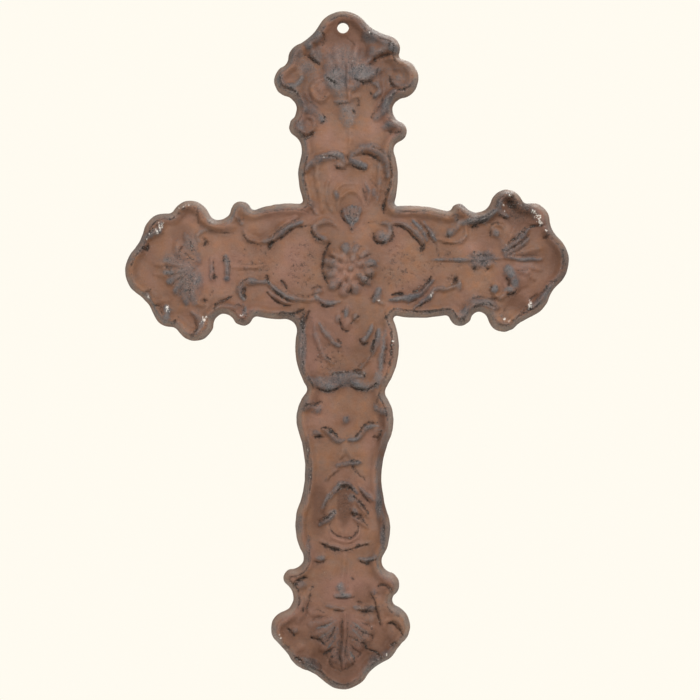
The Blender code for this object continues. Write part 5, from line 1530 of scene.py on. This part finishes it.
def aged_iron():
    """Matte rust-brown paint on cast iron, rubbed to slate on its folds, with soot and painted shade in its
    grooves, painted shade in its hollows, painted sheen on its rim and painted glints.
    """
    material = bpy.data.materials.new("aged_iron")
    material.use_nodes = True
    tree = material.node_tree
    shader = tree.nodes["Principled BSDF"]
    own = tree.nodes.new("ShaderNodeTexCoord").outputs["Object"]
    clouds, rosy, patches, blotches, broken, dots, glints, grit = [
        noise(tree, own, *values)
        for values in (CLOUDS, ROSY_CLOUDS, PATCHES, BLOTCHES, BROKEN, DOTS, GLINT_NOISE, GRIT)]

    # Brown paint, rosy here and there, with painted sheen at the edge, painted shade and grime in its hollows
    # and darker patches at random
    colour = blend(tree, blotches, RUST_BROWN, EARTH_BROWN)
    rosy = stretched(tree, total(tree, rosy, painted(tree, "rosy")), 0.0, 1.4)
    colour = blend(tree, rosy, colour, ROSY_BROWN)
    sheen = stretched(tree, total(tree, painted(tree, "rim_sheen"), product(tree, blotches, 0.5)), 0.5, 1.5)
    colour = blend(tree, product(tree, sheen, 0.8), colour, RIM_SHEEN_COLOUR)
    dark = total(tree, product(tree, painted(tree, "shade_and_grime"), 0.75), product(tree, patches, 0.35),
                 product(tree, clouds, 0.3))
    colour = blend(tree, stretched(tree, dark, 0.1, 1.25), colour, SHADE_AND_MOTTLE_BROWN)

    # Slate where it is rubbed, and soot with painted shade where it is grooved, both broken up
    speckled = total(tree, product(tree, broken, 0.4), product(tree, blotches, 0.3),
                     product(tree, dots, 0.4), product(tree, grit, 0.3))
    rub = total(tree, product(tree, painted(tree, "rubbed"), 1.25), speckled)
    shade = stretched(tree, total(tree, patches, product(tree, grit, 0.5)), 0.3, 1.2)
    slate = blend(tree, shade, WORN_SLATE, DARK_SLATE)
    colour = blend(tree, stretched(tree, rub, 0.9, 2.0), colour, slate)
    shade_and_soot_share = total(tree, product(tree, painted(tree, "soot_and_shade"), 1.05), speckled)
    shade_and_soot_share = stretched(tree, shade_and_soot_share, 1.0, 1.75)
    colour = blend(tree, product(tree, shade_and_soot_share, 0.85), colour, SHADE_AND_SOOT_BLACK)

    # Grit, pits and painted glints, thickest where the paint is marked, and chips bared to white with a
    # painted glint among them
    marked = total(tree, product(tree, painted(tree, "rubbed"), 0.65), painted(tree, "soot_and_shade"))
    colour = blend(tree, product(tree, grit, stretched(tree, marked, 0.0, 1.0, 0.16, 0.4)), colour, SHADE_AND_SOOT_BLACK)
    pits = stretched(tree, total(tree, dots, product(tree, marked, 0.4)), 0.92, 1.15)
    colour = blend(tree, product(tree, pits, 0.7), colour, SHADE_AND_SOOT_BLACK)
    glints = stretched(tree, total(tree, glints, product(tree, marked, 0.35)), 0.85, 1.2)
    colour = blend(tree, product(tree, glints, 0.55), colour, PAINTED_GLINT_GREY)
    bared_and_glint = total(tree, painted(tree, "chips_and_glint"), product(tree, grit, 0.9))
    colour = blend(tree, stretched(tree, bared_and_glint, 1.0, 1.7), colour, BARED_WHITE_AND_GLINT)

    tree.links.new(colour, shader.inputs["Base Color"])
    tree.links.new(stretched(tree, grit, 0.0, 1.0, 0.5, 0.72), shader.inputs["Roughness"])
    tree.links.new(stretched(tree, shade_and_soot_share, 0.0, 1.0, 0.17, 0.05), shader.inputs["Specular IOR Level"])
    grain = tree.nodes.new("ShaderNodeBump")
    grain.inputs["Strength"].default_value = GRAIN_STRENGTH
    grain.inputs["Distance"].default_value = GRAIN_HEIGHT
    pitted = product(tree, dots, stretched(tree, marked, 0.0, 1.0, 0.15, 0.6))
    tree.links.new(total(tree, product(tree, broken, 0.8), pitted), grain.inputs["Height"])
    tree.links.new(grain.outputs["Normal"], shader.inputs["Normal"])
    return material


# The photo is 700 pixels wide and a pixel is 0.544 mm; the nail hole is 7 pixels left of its
# middle and 321 above
PIXEL = 0.368 / 677
PICTURE_WIDTH = 700 * PIXEL
PICTURE_CENTRE = (7 * PIXEL, 0.0, -321 * PIXEL)
LENS = 100.0
SENSOR = 36.0
DAYLIGHT = (1.0, 0.965, 0.875, 1.0)
LAMPLIGHT = (1.0, 0.98, 0.95)
FLOOR_RADIUS = 0.4
FLOOR_SIDES = 96
FLOOR_DROP = 0.09
FLOOR_COLOUR = (0.86, 0.83, 0.77, 1.0)
FLOOR_ROUGHNESS = 0.9
# Each lamp's name, place, diameter and power in watts
LAMPS = (
    ("key_lamp", (0.62, -0.9, 0.6), 0.4, 38.5),
    ("fill_lamp", (-0.8, -0.8, 0.0), 0.7, 16.5),
    ("back_lamp", (0.3, 0.9, 0.5), 0.6, 12.0))


def studio():
    """A pale world, a pale floor well below the cross, and soft lamps."""
    world = bpy.data.worlds.new("pale_room")
    bpy.context.scene.world = world
    world.use_nodes = True
    room = world.node_tree.nodes["Background"]
    room.inputs["Color"].default_value = DAYLIGHT
    room.inputs["Strength"].default_value = 1.0
    floor_mesh = bpy.data.meshes.new("floor")
    work = bmesh.new()
    bmesh.ops.create_circle(work, cap_ends=True, radius=FLOOR_RADIUS, segments=FLOOR_SIDES)
    work.to_mesh(floor_mesh)
    work.free()
    for vertex in floor_mesh.vertices:
        vertex.co.z = cad_box[0][2] - FLOOR_DROP
    pale = bpy.data.materials.new("pale_floor")
    pale.use_nodes = True
    shader = pale.node_tree.nodes["Principled BSDF"]
    shader.inputs["Base Color"].default_value = FLOOR_COLOUR
    shader.inputs["Roughness"].default_value = FLOOR_ROUGHNESS
    floor_mesh.materials.append(pale)
    floor = bpy.data.objects.new("floor", floor_mesh)
    bpy.context.collection.objects.link(floor)
    for name, where, size, power in LAMPS:
        lamp = bpy.data.lights.new(name, "AREA")
        lamp.shape = "DISK"
        lamp.size = size
        lamp.energy = power
        lamp.color = LAMPLIGHT
        holder = bpy.data.objects.new(name, lamp)
        holder.location = where
        aim = Vector(PICTURE_CENTRE) - Vector(where)
        holder.rotation_euler = aim.to_track_quat("-Z", "Y").to_euler()
        bpy.context.collection.objects.link(holder)


def camera():
    """Straight on, so that the picture's frame is the photograph's."""
    lens = bpy.data.cameras.new("camera")
    lens.lens = LENS
    lens.sensor_width = SENSOR
    holder = bpy.data.objects.new("camera", lens)
    holder.location = (PICTURE_CENTRE[0], -PICTURE_WIDTH * LENS / SENSOR, PICTURE_CENTRE[2])
    holder.rotation_euler = (math.pi / 2, 0.0, 0.0)
    bpy.context.collection.objects.link(holder)
    bpy.context.scene.camera = holder
    bpy.context.scene.view_settings.view_transform = "Standard"


camera()
studio()
cross = carved_cross()
cross.data.materials.append(aged_iron())
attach(cross, "root")
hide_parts("cast_cross")
